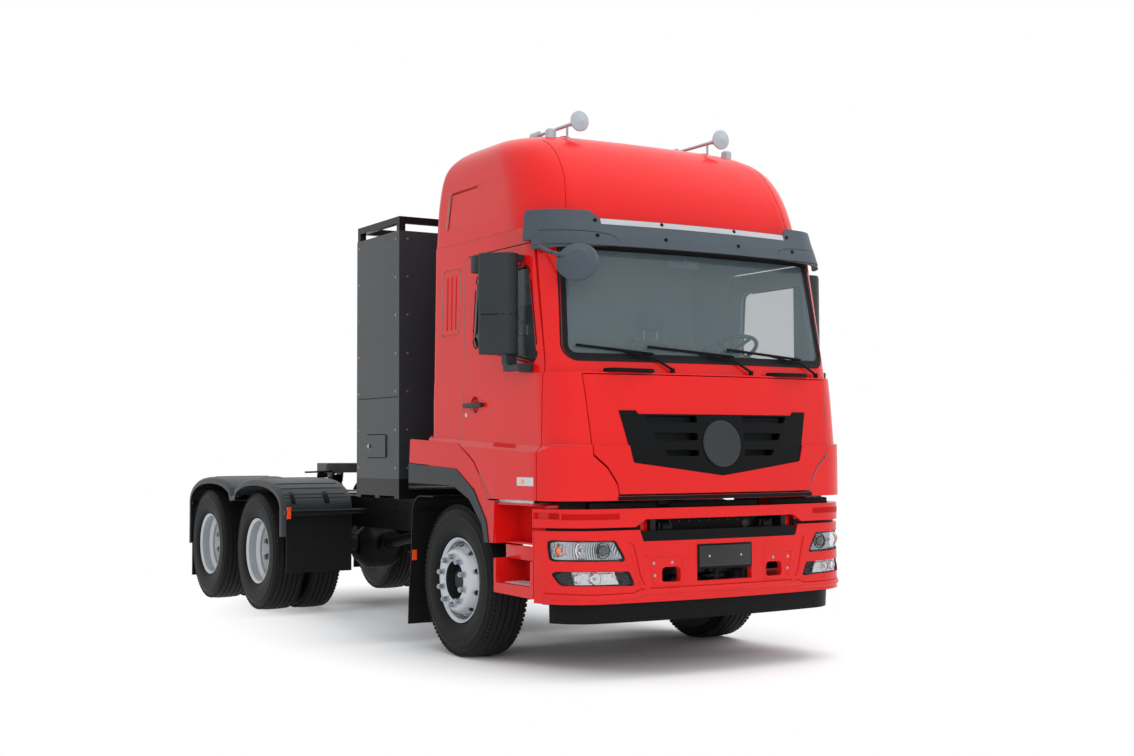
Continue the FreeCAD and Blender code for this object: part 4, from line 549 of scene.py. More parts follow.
def pipe(name, points, radius, material, body, order=2):
    """A round bar along points measured from the front axle. Order 3 rounds its corners."""
    data = bpy.data.curves.new(name, "CURVE")
    data.dimensions = "3D"
    data.bevel_depth = radius
    data.bevel_resolution = 3
    data.resolution_u = 8
    data.use_fill_caps = True
    spline = data.splines.new("NURBS")
    spline.points.add(len(points) - 1)
    for point, place in zip(spline.points, points):
        point.co = (*at(*place), 1)
    spline.order_u = order
    spline.use_endpoint_u = True
    data.materials.append(finishes[material])
    return ride(bpy.data.objects.new(name, data), body)


def skin_of(*names):
    """The surface of CAD nodes, or of pieces made here, to lay things on."""
    meshes = [(nodes[name] if isinstance(name, str) else name).data for name in names]
    return BVHTree.FromPolygons(*join([([v.co.copy() for v in mesh.vertices],
                                        [list(face.vertices) for face in mesh.polygons]) for mesh in meshes]))


def front(y, z, start=AHEAD):
    return at(start, y, z), Vector((-1, 0, 0))


def rear(y, z, start):
    return at(start, y, z), Vector((1, 0, 0))


def flank(s, x, z):
    return at(x, s * ASIDE, z), Vector((0, -s, 0))


def above(x, y, start):
    return at(x, y, start), Vector((0, 0, -1))


def onto(skin, place, direction):
    """Where a sight line first meets a surface, and the surface's normal towards its start."""
    hit, normal, _, _ = skin.ray_cast(place, direction)
    if hit is None:
        return None
    if normal.dot(direction) > 0:
        normal = -normal
    return hit, normal


def rows_on(skin, lines):
    """Rows of (place, normal) for rows of sight lines. A row that misses the surface anywhere is left out."""
    rows = [[onto(skin, *ray) for ray in line] for line in lines]
    return [row for row in rows if all(row)]


def patch(skin, count, wide, ray):
    """Rows over a patch of a surface, where ray turns shares of its height and width into a sight line."""
    return rows_on(skin, [[ray(i / (count - 1), j / (wide - 1)) for j in range(wide)] for i in range(count)])


def sheet(rows, proud, closed=False):
    """A thin strip that lies on a surface: rows of (place, normal), raised by proud."""
    vertices = []
    for row in rows:
        for place, normal in row:
            vertices += [place - normal * BED, place + normal * proud]
    wide = len(rows[0])
    count = len(rows)
    faces = []

    def index(i, j, top):
        return 2 * ((i % count) * wide + j) + top

    for i in range(count if closed else count - 1):
        for j in range(wide - 1):
            for top in (0, 1):
                faces.append([index(i, j, top), index(i + 1, j, top), index(i + 1, j + 1, top),
                              index(i, j + 1, top)])
        for j in (0, wide - 1):
            faces.append([index(i, j, 0), index(i + 1, j, 0), index(i + 1, j, 1), index(i, j, 1)])
    if not closed:
        for i in (0, count - 1):
            for j in range(wide - 1):
                faces.append([index(i, j, 0), index(i, j + 1, 0), index(i, j + 1, 1), index(i, j, 1)])
    return vertices, faces


def strip(name, skin, rays, across, half, proud, material, body):
    """A flat trim laid on a surface along the line through parallel sight lines, with its edges sunk."""
    lines = []
    for (a, direction), (b, _) in zip(rays, rays[1:]):
        count = max(2, int((b - a).length / 0.03))
        for i in range(count + 1):
            middle = a.lerp(b, i / count)
            steps = (-half, -half * 0.7, half * 0.7, half)
            lines.append([(middle + Vector(across) * step, direction) for step in steps])
    rows = [[(place - normal * proud * sink, normal) for (place, normal), sink in zip(row, (0.5, 0, 0, 0.5))]
            for row in rows_on(skin, lines)]
    return piece(name, [sheet(rows, proud)], material, body, 50)


def rounded_ring(corners, radii, steps=6):
    """Points round a polygon with rounded corners, each with the direction that points out of it."""
    ring = []
    count = len(corners)
    for i, corner in enumerate(corners):
        here = Vector(corner)
        before = (Vector(corners[i - 1]) - here).normalized()
        after = (Vector(corners[(i + 1) % count]) - here).normalized()
        half = before.angle(after) / 2
        middle = here + (before + after).normalized() * (radii[i] / math.sin(half))
        start = here + before * (radii[i] / math.tan(half)) - middle
        sweep = start.angle_signed(here + after * (radii[i] / math.tan(half)) - middle)
        for k in range(steps + 1):
            out = Vector(start)
            out.rotate(Matrix.Rotation(-sweep * k / steps, 2))
            ring.append((middle + out, out.normalized()))
    return ring


def ring_strip(name, skin, ring, ray, steps, proud, material, body, sharp=60):
    """A closed trim laid on a surface round a ring. ray turns a point of the ring into a sight line."""
    rows = rows_on(skin, [[ray(place + out * step) for step in steps] for place, out in ring])
    return piece(name, [sheet(rows, proud, True)], material, body, sharp)


# Tyres
# Each road tyre has four circumferential grooves, shoulder slots and rings on its sidewall. A front wheel has
# one, and a rear wheel two side by side.
TYRE_RADIUS = 0.540
TYRE_SEGMENTS = 132
TREAD_HALF = 0.104
TREAD_TURNS = 3.4
GROOVES = (-0.070, -0.026, 0.026, 0.070)
GROOVE_HALF = 0.005
GROOVE_DEPTH = 0.013
GROOVE_EDGE = 0.002
LUG_COUNT = 88
LUG_Y = 0.1225
LUG_LEAN = 0.35
FRONT_Y = 1.018
REAR_Y = (1.079, 0.734)
SIDE_LINE = ((0.288, 0.109), (0.3005, 0.115), (0.305, 0.1235), (0.318, 0.131), (0.321, 0.1335),
             (0.326, 0.1335), (0.329, 0.136), (0.345, 0.1405), (0.366, 0.1455), (0.400, 0.149),
             (0.430, 0.1493), (0.452, 0.1478), (0.456, 0.1492), (0.460, 0.1465), (0.482, 0.1415),
             (0.497, 0.137), (0.500, 0.1385), (0.504, 0.1335), (0.516, 0.127), (0.5265, 0.119),
             (0.5325, 0.111))


def crown(a):
    """Radius of the tread at a distance from the middle of the tyre."""
    return TYRE_RADIUS - 0.006 * (a / 0.102) ** 4


def tread_line():
    line = [(crown(TREAD_HALF), -TREAD_HALF)]
    wall = GROOVE_HALF * 0.55
    for groove in GROOVES:
        top = crown(abs(groove))
        line += [(top, groove - GROOVE_HALF - GROOVE_EDGE), (top - GROOVE_EDGE, groove - GROOVE_HALF),
                 (top - GROOVE_DEPTH, groove - wall), (top - GROOVE_DEPTH, groove + wall),
                 (top - GROOVE_EDGE, groove + GROOVE_HALF), (top, groove + GROOVE_HALF + GROOVE_EDGE),
                 (crown(groove + 0.022), groove + 0.022)]
    return line[:-1] + [(crown(TREAD_HALF), TREAD_HALF)]


def tyre_mesh(name, places, body, node):
    """Sidewalls and tread in one mesh. The UV keeps the angle and the place across for the sipes."""
    profile = [(radius, -y) for radius, y in SIDE_LINE] + tread_line() + list(reversed(SIDE_LINE))
    wide = len(profile)
    side_faces = len(SIDE_LINE) - 1
    shapes, uv, kinds = [], [], []
    for place in places:
        vertices, faces = [], []
        for i in range(TYRE_SEGMENTS):
            angle = 2 * math.pi * i / TYRE_SEGMENTS
            vertices += [place + Vector((radius * math.cos(angle), y, radius * math.sin(angle)))
                         for radius, y in profile]
            for j in range(wide - 1):
                square = ((i, j), (i + 1, j), (i + 1, j + 1), (i, j + 1))
                faces.append([(k % TYRE_SEGMENTS) * wide + m for k, m in square])
                uv.append([(k / TYRE_SEGMENTS * TREAD_TURNS, profile[m][1]) for k, m in square])
                kinds.append(1 if side_faces <= j < wide - 1 - side_faces else 0)
        shapes.append((vertices, faces))
        for s in (-1, 1):
            lean = (Matrix.Translation((TYRE_RADIUS - 0.012, s * LUG_Y, 0))
                    @ Matrix.Rotation(s * LUG_LEAN, 4, "Z"))
            lug = block((-0.010, -0.0085, -0.0125), (0.0065, 0.0085, 0.0125), 0.003, 1)
            for i in range(LUG_COUNT):
                turn = Matrix.Translation(place) @ Matrix.Rotation(2 * math.pi * i / LUG_COUNT, 4, "Y")
                shapes.append(moved(lug, turn @ lean))
            uv += [[(0.0, 0.0)] * len(face) for face in lug[1]] * LUG_COUNT
            kinds += [1] * len(lug[1]) * LUG_COUNT
    vertices, faces = join(shapes)
    mesh = bpy.data.meshes.new(name)
    mesh.from_pydata([tuple(v) for v in vertices], [], faces)
    layer = mesh.uv_layers.new(name="around")
    mesh.materials.append(finishes["sidewall"])
    mesh.materials.append(finishes["tread_rubber"])
    for face, corners, kind in zip(mesh.polygons, uv, kinds):
        face.material_index = kind
        for loop, corner in zip(face.loop_indices, corners):
            layer.data[loop].uv = corner
    mesh.shade_smooth()
    mesh.set_sharp_from_angle(angle=math.radians(38))
    tyre = ride(bpy.data.objects.new(name, mesh), body)
    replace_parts(tyre, node)


def make_tyres():
    for side, s in SIDES:
        tyre_mesh("road_tyre_front_" + side, [at(0, s * FRONT_Y, AXLE_Z)], "front_wheel_" + side,
                  "front_tyre_" + side)
        for wheel, x in WHEEL_X.items():
            end = "%s_%s" % (wheel[-1], side)
            tyre_mesh("road_tyres_rear_" + end, [at(x, s * y, AXLE_Z) for y in REAR_Y], "rear_wheels_" + end,
                      "rear_tyres_" + end)


make_tyres()


# The front wheels' pressed discs
# Each disc bulges out past the rim. Its steep outer band has ten oval hand holes, through which the rim's
# faces behind it show dark as painted shade.
FRONT_DISC_Y = 1.098
DISC_LIFT = 0.0005
HOLES = 10
HAND_HOLE_CIRCLE = 0.2400
HAND_HOLE_HALF = (0.0215, 0.0095)
DISC_LINE = ((0.1365, 0.0790), (0.1410, 0.0870), (0.1980, 0.0885), (0.2100, 0.0850), (0.2200, 0.0740),
             (0.2300, 0.0540), (0.2500, 0.0080), (0.2590, -0.0150), (0.2745, -0.0380))


def radial(angle):
    """Direction from a wheel's axis at an angle, in the wheel's plane."""
    return Vector((math.cos(angle), 0, math.sin(angle)))


def disc_rise(radius):
    """How far the disc stands out of the hub face at a radius."""
    for (r0, a0), (r1, a1) in zip(DISC_LINE, DISC_LINE[1:]):
        if radius <= r1:
            return a0 + (a1 - a0) * (radius - r0) / (r1 - r0)
    return DISC_LINE[-1][1]


def disc_sector(middle_angle, centre, outward, count=40, rings=14):
    """A tenth of the disc: a patch of a ring with an oval hole, whose wall turns inwards."""
    half = math.pi / HOLES
    low, high = DISC_LINE[0][0], DISC_LINE[-1][0]
    vertices = []
    for level in range(-1, rings + 1):
        share = max(level, 0) / rings
        for k in range(count):
            t = 2 * math.pi * k / count
            c, s = math.cos(t), math.sin(t)
            reach = 1 / max(abs(c), abs(s))
            hole = (HAND_HOLE_HALF[0] * c / HAND_HOLE_CIRCLE, HAND_HOLE_CIRCLE + HAND_HOLE_HALF[1] * s)
            edge = (half * c * reach, (low + high) / 2 + (high - low) / 2 * s * reach)
            angle, radius = [a + (b - a) * share for a, b in zip(hole, edge)]
            rise = disc_rise(radius) - (0.012 if level < 0 else 0.0015 if level == 0 else 0)
            vertices.append(centre + outward * rise + radius * radial(middle_angle + angle))
    return vertices, lattice(rings + 2, count, tube=True)


def make_front_discs():
    for side, s in SIDES:
        centre = at(0, s * (FRONT_DISC_Y + DISC_LIFT), AXLE_Z)
        sectors = [disc_sector(math.pi * (2 * i + 1) / HOLES, centre, Vector((0, s, 0)))
                   for i in range(HOLES)]
        disc = piece("front_disc_" + side, sectors, "rim_paint", "front_wheel_" + side, 40)
        joined = bmesh.new()
        joined.from_mesh(disc.data)
        bmesh.ops.remove_doubles(joined, verts=joined.verts, dist=0.0004)
        bmesh.ops.recalc_face_normals(joined, faces=joined.faces)
        joined.to_mesh(disc.data)
        joined.free()


make_front_discs()


# Wheel nuts and hubs
# Ten flanged nuts hold each wheel, each with a stud end showing. A ring of bolts and a turned edge mark each
# hub, and each rim has its valve stems.
NUTS = 10
NUT_CIRCLE = 0.1675
STEM_CIRCLE = 0.236
DISC_BULGE = 0.0885
REAR_DISC_Y = 0.9065
NUT_CAP = ((0.0245, 0.0005), (0.0245, 0.0035), (0.0215, 0.0065), (0.0185, 0.0070), (0.0185, 0.0385),
           (0.0165, 0.0405), (0.0112, 0.0408), (0.0108, 0.0465), (0.0, 0.0472))
HUB_WALL = ((0.1375, 0.0800), (0.1340, 0.0780), (0.1330, 0.0020), (0.1360, 0.0010))
HUB_EDGE = ((0.128, 0), (0.1285, 0.004), (0.1225, 0.006), (0.122, 0.0))
STEM = ((0.006, 0), (0.006, 0.02), (0.004, 0.022), (0.004, 0.052), (0.0052, 0.053), (0.0052, 0.062),
        (0, 0.063))
FRONT_HUB = dict(disc_y=FRONT_DISC_Y, bulge=DISC_BULGE, hub_reach=0.014, count=8, radius=0.112, width=0.008,
                 stems=(0, 5), wall=[HUB_WALL])
REAR_HUB = dict(disc_y=REAR_DISC_Y, bulge=0, hub_reach=0.012, count=10, radius=0.108, width=0.009, stems=(0,),
                wall=[])


def wheel_dress(name, body, wheel_x, s, disc_y, bulge, hub_reach, count, radius, width, stems, wall):
    outward = Vector((0, s, 0))
    centre = at(wheel_x, s * disc_y, AXLE_Z)
    nuts = []
    for i in range(NUTS):
        angle = math.pi / 2 + 2 * math.pi * i / NUTS
        place = centre + outward * bulge + NUT_CIRCLE * radial(angle)
        nuts.append(turned(NUT_CAP, 12, aim(place, outward), angle))
    piece("wheel_nuts_" + name, nuts, "nut_steel", body)
    hub = [turned(profile, 48, aim(centre, outward)) for profile in wall]
    for i in range(count):
        angle = 2 * math.pi * (i + 0.5) / count
        place = centre + outward * hub_reach + radius * radial(angle)
        head = ((width, -0.012), (width, 0.006), (width * 0.8, 0.008), (0, 0.008))
        hub.append(turned(head, 6, aim(place, outward), angle))
    hub.append(turned(HUB_EDGE, 48, aim(centre + outward * (hub_reach - 0.008), outward)))
    piece("hub_bolts_" + name, hub, "hub_iron", body, 30)
    spokes = [radial(math.pi / 2 + 2 * math.pi * (i + 0.5) / NUTS) for i in stems]
    piece("valve_stem_" + name,
          [turned(STEM, 10, aim(centre + STEM_CIRCLE * spoke - outward * 0.02, outward + 0.25 * spoke))
           for spoke in spokes], "bright_steel", body)


def make_wheels():
    for side, s in SIDES:
        wheel_dress("front_" + side, "front_wheel_" + side, 0, s, **FRONT_HUB)
        for wheel, x in WHEEL_X.items():
            wheel_dress(wheel + "_" + side, "rear_wheels_%s_%s" % (wheel[-1], side), x, s, **REAR_HUB)


make_wheels()


# Head and fog lamps
# A clear lens covers a bright ribbed housing with a dark projector lens, a chrome bowl and an orange
# indicator. The fog lamp below has a round bowl between dark ends.
HEAD_LENS = ((1.190, 0.752), (1.200, 0.886), (0.830, 0.880), (0.748, 0.745))
FOG_LENS = ((1.150, 0.600), (1.195, 0.690), (0.735, 0.682), (0.688, 0.590))
FOG_CLEAR = ((1.075, 0.604), (1.090, 0.684), (0.830, 0.680), (0.800, 0.602))
SEAL_RADII = (0.022, 0.026, 0.02, 0.016)
SEAL_STEPS = (-0.006, 0.0, 0.007)
INDICATOR_TIP = 0.35
front_skin = skin_of("front_lamps", "bumper", "bumper_trims")
lamp_skin = skin_of("front_lamps")
bumper_skin = skin_of("bumper")


def inset(corners, gap):
    ring = []
    for i, corner in enumerate(corners):
        here = Vector(corner)
        before = (Vector(corners[i - 1]) - here).normalized()
        after = (Vector(corners[(i + 1) % len(corners)]) - here).normalized()
        ring.append(tuple(here + (before + after).normalized() * gap / math.sin(before.angle(after) / 2)))
    return ring


def behind_lens(s, y, z, back):
    """A place at a depth behind the lamp's clear front."""
    place, _ = onto(lamp_skin, *front(s * y, z)) or (at(1.40, s * y, z), None)
    return place - Vector((back, 0, 0))


def lamp_backing(name, corners, s, back, material):
    """An inner sheet that follows the lens at a depth behind it, and comes nearer to it at its ends."""
    def spot(u, v):
        top = Vector(corners[1]).lerp(Vector(corners[2]), u)
        y, z = Vector(corners[0]).lerp(Vector(corners[3]), u).lerp(top, v)
        depth = back * min(1, 0.25 + min(u, 1 - u) * 10) * (0.6 + 0.4 * math.sin(math.pi * v))
        return behind_lens(s, y, z, depth), Vector((-1, 0, 0))

    rows = [[spot(j / 24, i / 6) for j in range(25)] for i in range(7)]
    piece(name, [sheet(rows, 0.0015)], material, "chassis", 50)


def bowl(radius, depth):
    profile = [(radius * 1.12, 0.0), (radius * 1.12, 0.006), (radius * 1.03, 0.010), (radius, 0.008)]
    profile += [(radius * math.cos(t), -depth * math.sin(t)) for t in (0.35, 0.7, 1.0, 1.25)]
    return profile + [(0, -depth)]


def dome(radius, rise):
    return [(radius * math.cos(t), rise * math.sin(t)) for t in (0, 0.3, 0.6, 0.9, 1.2)] + [(0, rise)]


LAMP_PARTS = (
    ("dip_beam_ring", 0.898, 0.816, 0.030, bowl(0.047, 0.012), "bezel_grey", 32, 0),
    ("dip_beam_lens", 0.898, 0.816, 0.026, dome(0.034, 0.018), "dark_glass", 32, 0),
    ("main_beam_bowl", 1.024, 0.820, 0.024, bowl(0.052, 0.020), "chrome", 36, 0),
    ("main_beam_bulb", 1.024, 0.820, 0.034, dome(0.010, 0.016), "bright_steel", 16, 0),
    ("indicator_bowl", 1.142, 0.820, 0.020, bowl(0.034, 0.014), "chrome", 32, INDICATOR_TIP),
    ("indicator_bulb", 1.142, 0.820, 0.028, dome(0.018, 0.024), "amber", 20, INDICATOR_TIP),
    ("fog_bowl", 0.948, 0.640, 0.022, bowl(0.036, 0.020), "chrome", 32, 0),
    ("fog_bulb", 0.948, 0.640, 0.026, dome(0.010, 0.012), "bright_steel", 16, 0),
    ("corner_lamp_bowl", 1.050, 0.643, 0.020, bowl(0.026, 0.014), "chrome", 32, 0),
)


def make_lamps():
    for side, s in SIDES:
        lamp_backing("head_lamp_housing_" + side, inset(HEAD_LENS, 0.012), s, 0.038, "reflector")
        lamp_backing("fog_lamp_housing_" + side, inset(FOG_LENS, 0.010), s, 0.034, "black_plastic")
        lamp_backing("fog_lamp_reflector_" + side, FOG_CLEAR, s, 0.030, "fog_reflector")
        for name, y, z, back, profile, material, segments, tip in LAMP_PARTS:
            stand = aim(behind_lens(s, y, z, back), Vector((1, s * tip, 0)))
            piece(name + "_" + side, [turned(profile, segments, stand)], material, "chassis", 60)
        for name, corners in (("head", HEAD_LENS), ("fog", FOG_LENS)):
            ring = rounded_ring([(s * y, z) for y, z in inset(corners, 0.006)], SEAL_RADII)
            ring_strip("%s_lamp_seal_%s" % (name, side), front_skin, ring, lambda p: front(*p), SEAL_STEPS,
                       0.0025, "seal_rubber", "chassis", 35)


make_lamps()


# The bumper
# Creases, a lower lip and pocket edges are pressed into it. Darker red lines beside the crease and lip,
# and a darker red band in the bar's recess, are painted shade. Dark sheets close the gaps behind it as
# painted shade, and under the cab they also stand for its dark structure. An open band over the blank number
# plate shows a panel with two rings.
CREASE = ((0.722, 0.858), (0.700, 0.780), (0.672, 0.660), (0.640, 0.585), (0.585, 0.560))
CREASE_SHADE = ((0.704, 0.858), (0.682, 0.780), (0.654, 0.660), (0.622, 0.590))
LIP_END = ((1.236, 0.528), (0.960, 0.520), (0.700, 0.522), (0.640, 0.546))
LIP_MIDDLE = ((-0.640, 0.546), (-0.300, 0.548), (0.300, 0.548), (0.640, 0.546))
LIP_SHADE = ((1.236, 0.551), (0.960, 0.543), (0.700, 0.545), (0.640, 0.569), (0.300, 0.571), (0.0, 0.571))
POCKET = ((0.600, 0.775), (0.330, 0.775), (0.345, 0.590), (0.545, 0.590), (0.600, 0.775))
BAR_RECESS_Z = (1.012, 1.020, 1.040, 1.048)
GAP_Z = (0.930, 0.972)
UNDER_CAB_Y = ((-0.985, -0.470), (-0.365, 0.365), (0.470, 0.985))
RING_Y = (-0.422, 0.270)
POCKET_BOLTS = ((0.554, 0.728), (0.417, 0.728), (0.548, 0.648))
PANEL_X = 1.450


def bolts(skin, rays, radius, height, sides=6):
    hits = [onto(skin, *ray) for ray in rays]
    head = ((radius * 1.5, -0.001), (radius * 1.5, 0.0015), (radius, 0.002), (radius, height),
            (radius * 0.85, height + 0.0012), (0, height + 0.0012))
    return [turned(head, sides, aim(*hit)) for hit in hits if hit]


def bead(name, points, half, proud, material="red_moulding"):
    """A raised moulding on the bumper, through points (y, z). In red_shadow it is a painted shade line."""
    lines = []
    for a, b in zip(points, points[1:]):
        a, b = Vector(a), Vector(b)
        side = Vector((-(b - a).y, (b - a).x)).normalized()
        count = max(1, int((b - a).length / 0.025))
        steps = (-half, -half * 0.55, 0, half * 0.55, half)
        for i in range(count + 1):
            lines.append([front(*(a.lerp(b, i / count) + side * step)) for step in steps])
    rises = (-0.002, proud * 0.7, proud, proud * 0.7, -0.002)
    rows = rows_on(bumper_skin, lines)
    vertices = [place + normal * rise for row in rows for (place, normal), rise in zip(row, rises)]
    piece(name, [(vertices, lattice(len(rows), 5))], material, "chassis", 60)


def side_of(s, points):
    return [(s * y, z) for y, z in points]


def make_bumper():
    for side, s in SIDES:
        bead("bumper_crease_" + side, side_of(s, CREASE), 0.014, 0.009)
        bead("bumper_lip_end_" + side, side_of(s, LIP_END), 0.019, 0.012)
        bead("pocket_edge_" + side, side_of(s, POCKET), 0.008, 0.006)
        # A darker red sheet in the bar's recess is painted shade.
        recess = [[front(s * (0.800 + 0.380 * i / 10), z) for z in BAR_RECESS_Z] for i in range(11)]
        piece("bar_recess_shade_" + side, [sheet(rows_on(bumper_skin, recess), 0.0022)], "red_shadow", "chassis",
              50)
        # Black sheets inside the gaps behind the bumper are painted shade.
        dark = []
        for i in range(23):
            y = s * (0.640 + 0.560 * i / 22)
            hit = onto(bumper_skin, *front(y, 1.000 if abs(y) > 0.70 else 1.030))
            if hit:
                dark.append([(Vector((hit[0].x - 0.034, hit[0].y - s * 0.008, z)), Vector(ALONG))
                             for z in GAP_Z])
        piece("bumper_gap_shade_sheet_" + side, [sheet(dark, 0.003)], "black_plastic", "chassis", 60)
        boxed("opening_post_" + side, (1.470, s * 0.590 - 0.035, 0.880), (1.482, s * 0.590 + 0.035, 1.000),
              "red_moulding", "chassis", 0.004)
        # Thin darker red lines beside the lip and the crease are painted shade.
        bead("bumper_lip_shade_" + side, side_of(s, LIP_SHADE), 0.005, 0.0015, "red_shadow")
        bead("bumper_crease_shade_" + side, side_of(s, CREASE_SHADE), 0.005, 0.0015, "red_shadow")
    # Black panels fill the gap under the cab: partly the cab's dark structure, partly painted shade.
    for number, (low, high) in enumerate(UNDER_CAB_Y, 1):
        boxed("under_cab_shade_panel_%d" % number, (1.455, low, 1.052), (1.463, high, 1.116), "black_plastic",
              "chassis")
    bead("bumper_lip_middle", LIP_MIDDLE, 0.019, 0.012)
    boxed("opening_panel", (1.440, -0.520, 0.880), (PANEL_X, 0.520, 1.040), "black_plastic", "chassis", 0.004)
    large = ((0.034, 0), (0.034, 0.004), (0.026, 0.006), (0.024, 0.001), (0, 0.001))
    rings = [turned(large, 28, aim(at(PANEL_X, y, 0.955), ALONG)) for y in RING_Y]
    rings += [turned(((0.007, 0), (0.006, 0.003), (0, 0.003)), 8,
                     aim(at(PANEL_X, -0.36 + 0.08 * i, 0.985), ALONG))
              for i in range(9)]
    piece("opening_panel_rings", rings, "bezel_grey", "chassis")
    boxed("plate_holder", (1.5675, -0.223, 0.676), (1.5745, 0.223, 0.838), "black_plastic", "chassis")
    boxed("blank_plate", (1.5740, -0.212, 0.690), (1.5765, 0.212, 0.826), "plate_black", "chassis", 0.001)
    screw = ((0.007, 0), (0.007, 0.0015), (0.004, 0.003), (0, 0.003))
    piece("plate_screws", [turned(screw, 16, aim(at(1.576, y, 0.758), ALONG)) for y in (-0.13, 0.13)],
          "bright_steel", "chassis")
    rays = [front(*point) for s in (-1, 1) for point in side_of(s, POCKET_BOLTS)]
    piece("bumper_bolts", bolts(front_skin, rays, 0.007, 0.005), "nut_steel", "chassis")
    pin = ((0.019, -0.048), (0.019, 0.040), (0.024, 0.041), (0.024, 0.052), (0.012, 0.056), (0, 0.056))
    tow = [turned(pin, 24, Matrix.Translation(at(1.47, 0, 0.636))),
           block(at(1.40, -0.060, 0.612), at(1.485, 0.060, 0.632), 0.004)]
    piece("tow_pin", tow, "cast_iron", "chassis")


make_bumper()


# The front flap
# A fine net lies behind each grille slot, and the round pad between the slots is bare. A rubber strip closes
# the gap under the flap.
GRILLE_SLOTS = ((1.628, 1.672, 0.560), (1.512, 1.560, 0.500), (1.410, 1.450, 0.430))
SLOT_INNER_Y = 0.196
NET_CELL = 0.0075
HEXAGON = [(math.cos(math.pi / 6 + k * math.pi / 3), math.sin(math.pi / 6 + k * math.pi / 3))
           for k in range(6)]
PAD = ((0.152, -0.002), (0.154, 0.003), (0.150, 0.0065), (0.138, 0.008), (0.128, 0.006), (0.120, 0.0045),
       (0, 0.0045))
STRIP_Z = 1.1440
grille_skin = skin_of("grille")


def hex_net(name, y_span, z_span):
    """A honeycomb of thin walls that fills a slot of the grille."""
    shapes = []
    z = z_span[0]
    row = 0
    while z < z_span[1]:
        y = y_span[0] + (NET_CELL * math.sqrt(3) / 2 if row % 2 else 0)
        while y < y_span[1]:
            hit = onto(grille_skin, *front(y, (z_span[0] + z_span[1]) / 2))
            x = (hit[0].x - AXLE_X if hit else 1.46) + 0.004
            vertices = []
            for size, depth in ((NET_CELL, 0.0), (NET_CELL * 0.80, 0.0), (NET_CELL * 0.74, -0.006)):
                vertices += [at(x + depth, y + c * size, min(max(z + s * size, z_span[0]), z_span[1]))
                             for c, s in HEXAGON]
            shapes.append((vertices, lattice(3, 6, tube=True)))
            y += NET_CELL * math.sqrt(3)
        z += NET_CELL * 1.5
        row += 1
    piece(name, shapes, "grey_plastic", "front_flap", 20)


def make_flap():
    strip("flap_lower_strip", skin_of("cab_shell"), [front(-0.800, STRIP_Z), front(0.800, STRIP_Z)], UP,
          0.0125, 0.006, "black_plastic", "cab")
    for number, (low, high, reach) in enumerate(GRILLE_SLOTS, 1):
        for side, s in SIDES:
            hex_net("grille_net_%d_%s" % (number, side), sorted((s * SLOT_INNER_Y, s * (reach - 0.006))),
                    (low, high))
    hit = onto(skin_of("front_flap", "grille"), *front(0.0, 1.49))
    piece("bare_front_pad", [turned(PAD, 64, aim(*hit))], "bezel_grey", "front_flap")


make_flap()


# The glazing's seals and the sun visor
# Rubber lies round the windscreen and the door windows. The visor has a bright strip, dark screws and
# pressed lines.
SCREEN = ((-1.085, 2.035), (1.085, 2.035), (1.040, 2.800), (-1.040, 2.800))
WINDOW = ((0.300, 2.168), (0.345, 2.655), (1.040, 2.655), (1.160, 2.014))
VISOR_SCREWS = ((0.305, 2.951), (0.809, 2.951), (0.305, 2.845), (0.82, 2.845), (1.221, 2.845))
VISOR_LINE = ((1.225, 2.872), (0.90, 2.872), (0.80, 2.868), (0.72, 2.855), (0.68, 2.835), (0.665, 2.815))
VISOR_STRIP_Z = 2.946
visor_skin = skin_of("visor")


def fine_ring(corners, radii, steps):
    """A rounded ring with points along its straight edges too."""
    raw = rounded_ring(corners, radii, steps)
    ring = []
    for (a, out), (b, _) in zip(raw, raw[1:] + raw[:1]):
        count = max(1, int((b - a).length / 0.05))
        edge_out = -(b - a).orthogonal().normalized()
        ring += [(a.lerp(b, i / count), edge_out if i else out) for i in range(count)]
    return ring


def make_seals():
    ring_strip("windscreen_seal", skin_of("cab_shell", "windscreen"),
               fine_ring(SCREEN, (0.09, 0.09, 0.07, 0.07), 8),
               lambda p: front(*p), (-0.040, -0.030, -0.012, 0.004, 0.013), 0.003, "seal_rubber", "cab")
    for side, s in SIDES:
        ring_strip("door_window_seal_" + side, skin_of("door_" + side, "door_glass_" + side),
                   fine_ring(WINDOW, (0.05, 0.05, 0.06, 0.05), 6), lambda p: flank(s, *p),
                   (-0.016, -0.008, 0.004, 0.012), 0.003, "seal_rubber", "door_" + side)


def make_visor():
    strip("visor_strip", visor_skin, [front(-0.77, VISOR_STRIP_Z), front(0.77, VISOR_STRIP_Z)], UP, 0.019,
          0.002, "bright_steel", "cab")
    head = ((0.013, -0.001), (0.013, 0.004), (0.009, 0.006), (0.008, 0.003), (0, 0.003))
    hits = [onto(visor_skin, *front(*point)) for s in (-1, 1) for point in side_of(s, VISOR_SCREWS)]
    piece("visor_screws", [turned(head, 20, aim(*hit)) for hit in hits if hit], "black_plastic", "cab", 50)
    for side, s in SIDES:
        strip("visor_line_" + side, visor_skin, [front(*point) for point in side_of(s, VISOR_LINE)], UP,
              0.0028, 0.0016, "bezel_grey", "cab")


make_seals()
make_visor()


# The doors' fittings
# Each door has a dark pull handle over a round lock. An amber repeater sits low at its front edge.
LOCK = ((0.016, -0.002), (0.016, 0.003), (0.013, 0.005), (0.011, 0.003), (0, 0.003))
BODY_UNDER = (("cab_shell", "cab"), ("door_right", "door_right"), ("door_left", "door_left"),
              ("arch_flares", "cab"), ("bumper", "chassis"), ("lower_steps", "chassis"))


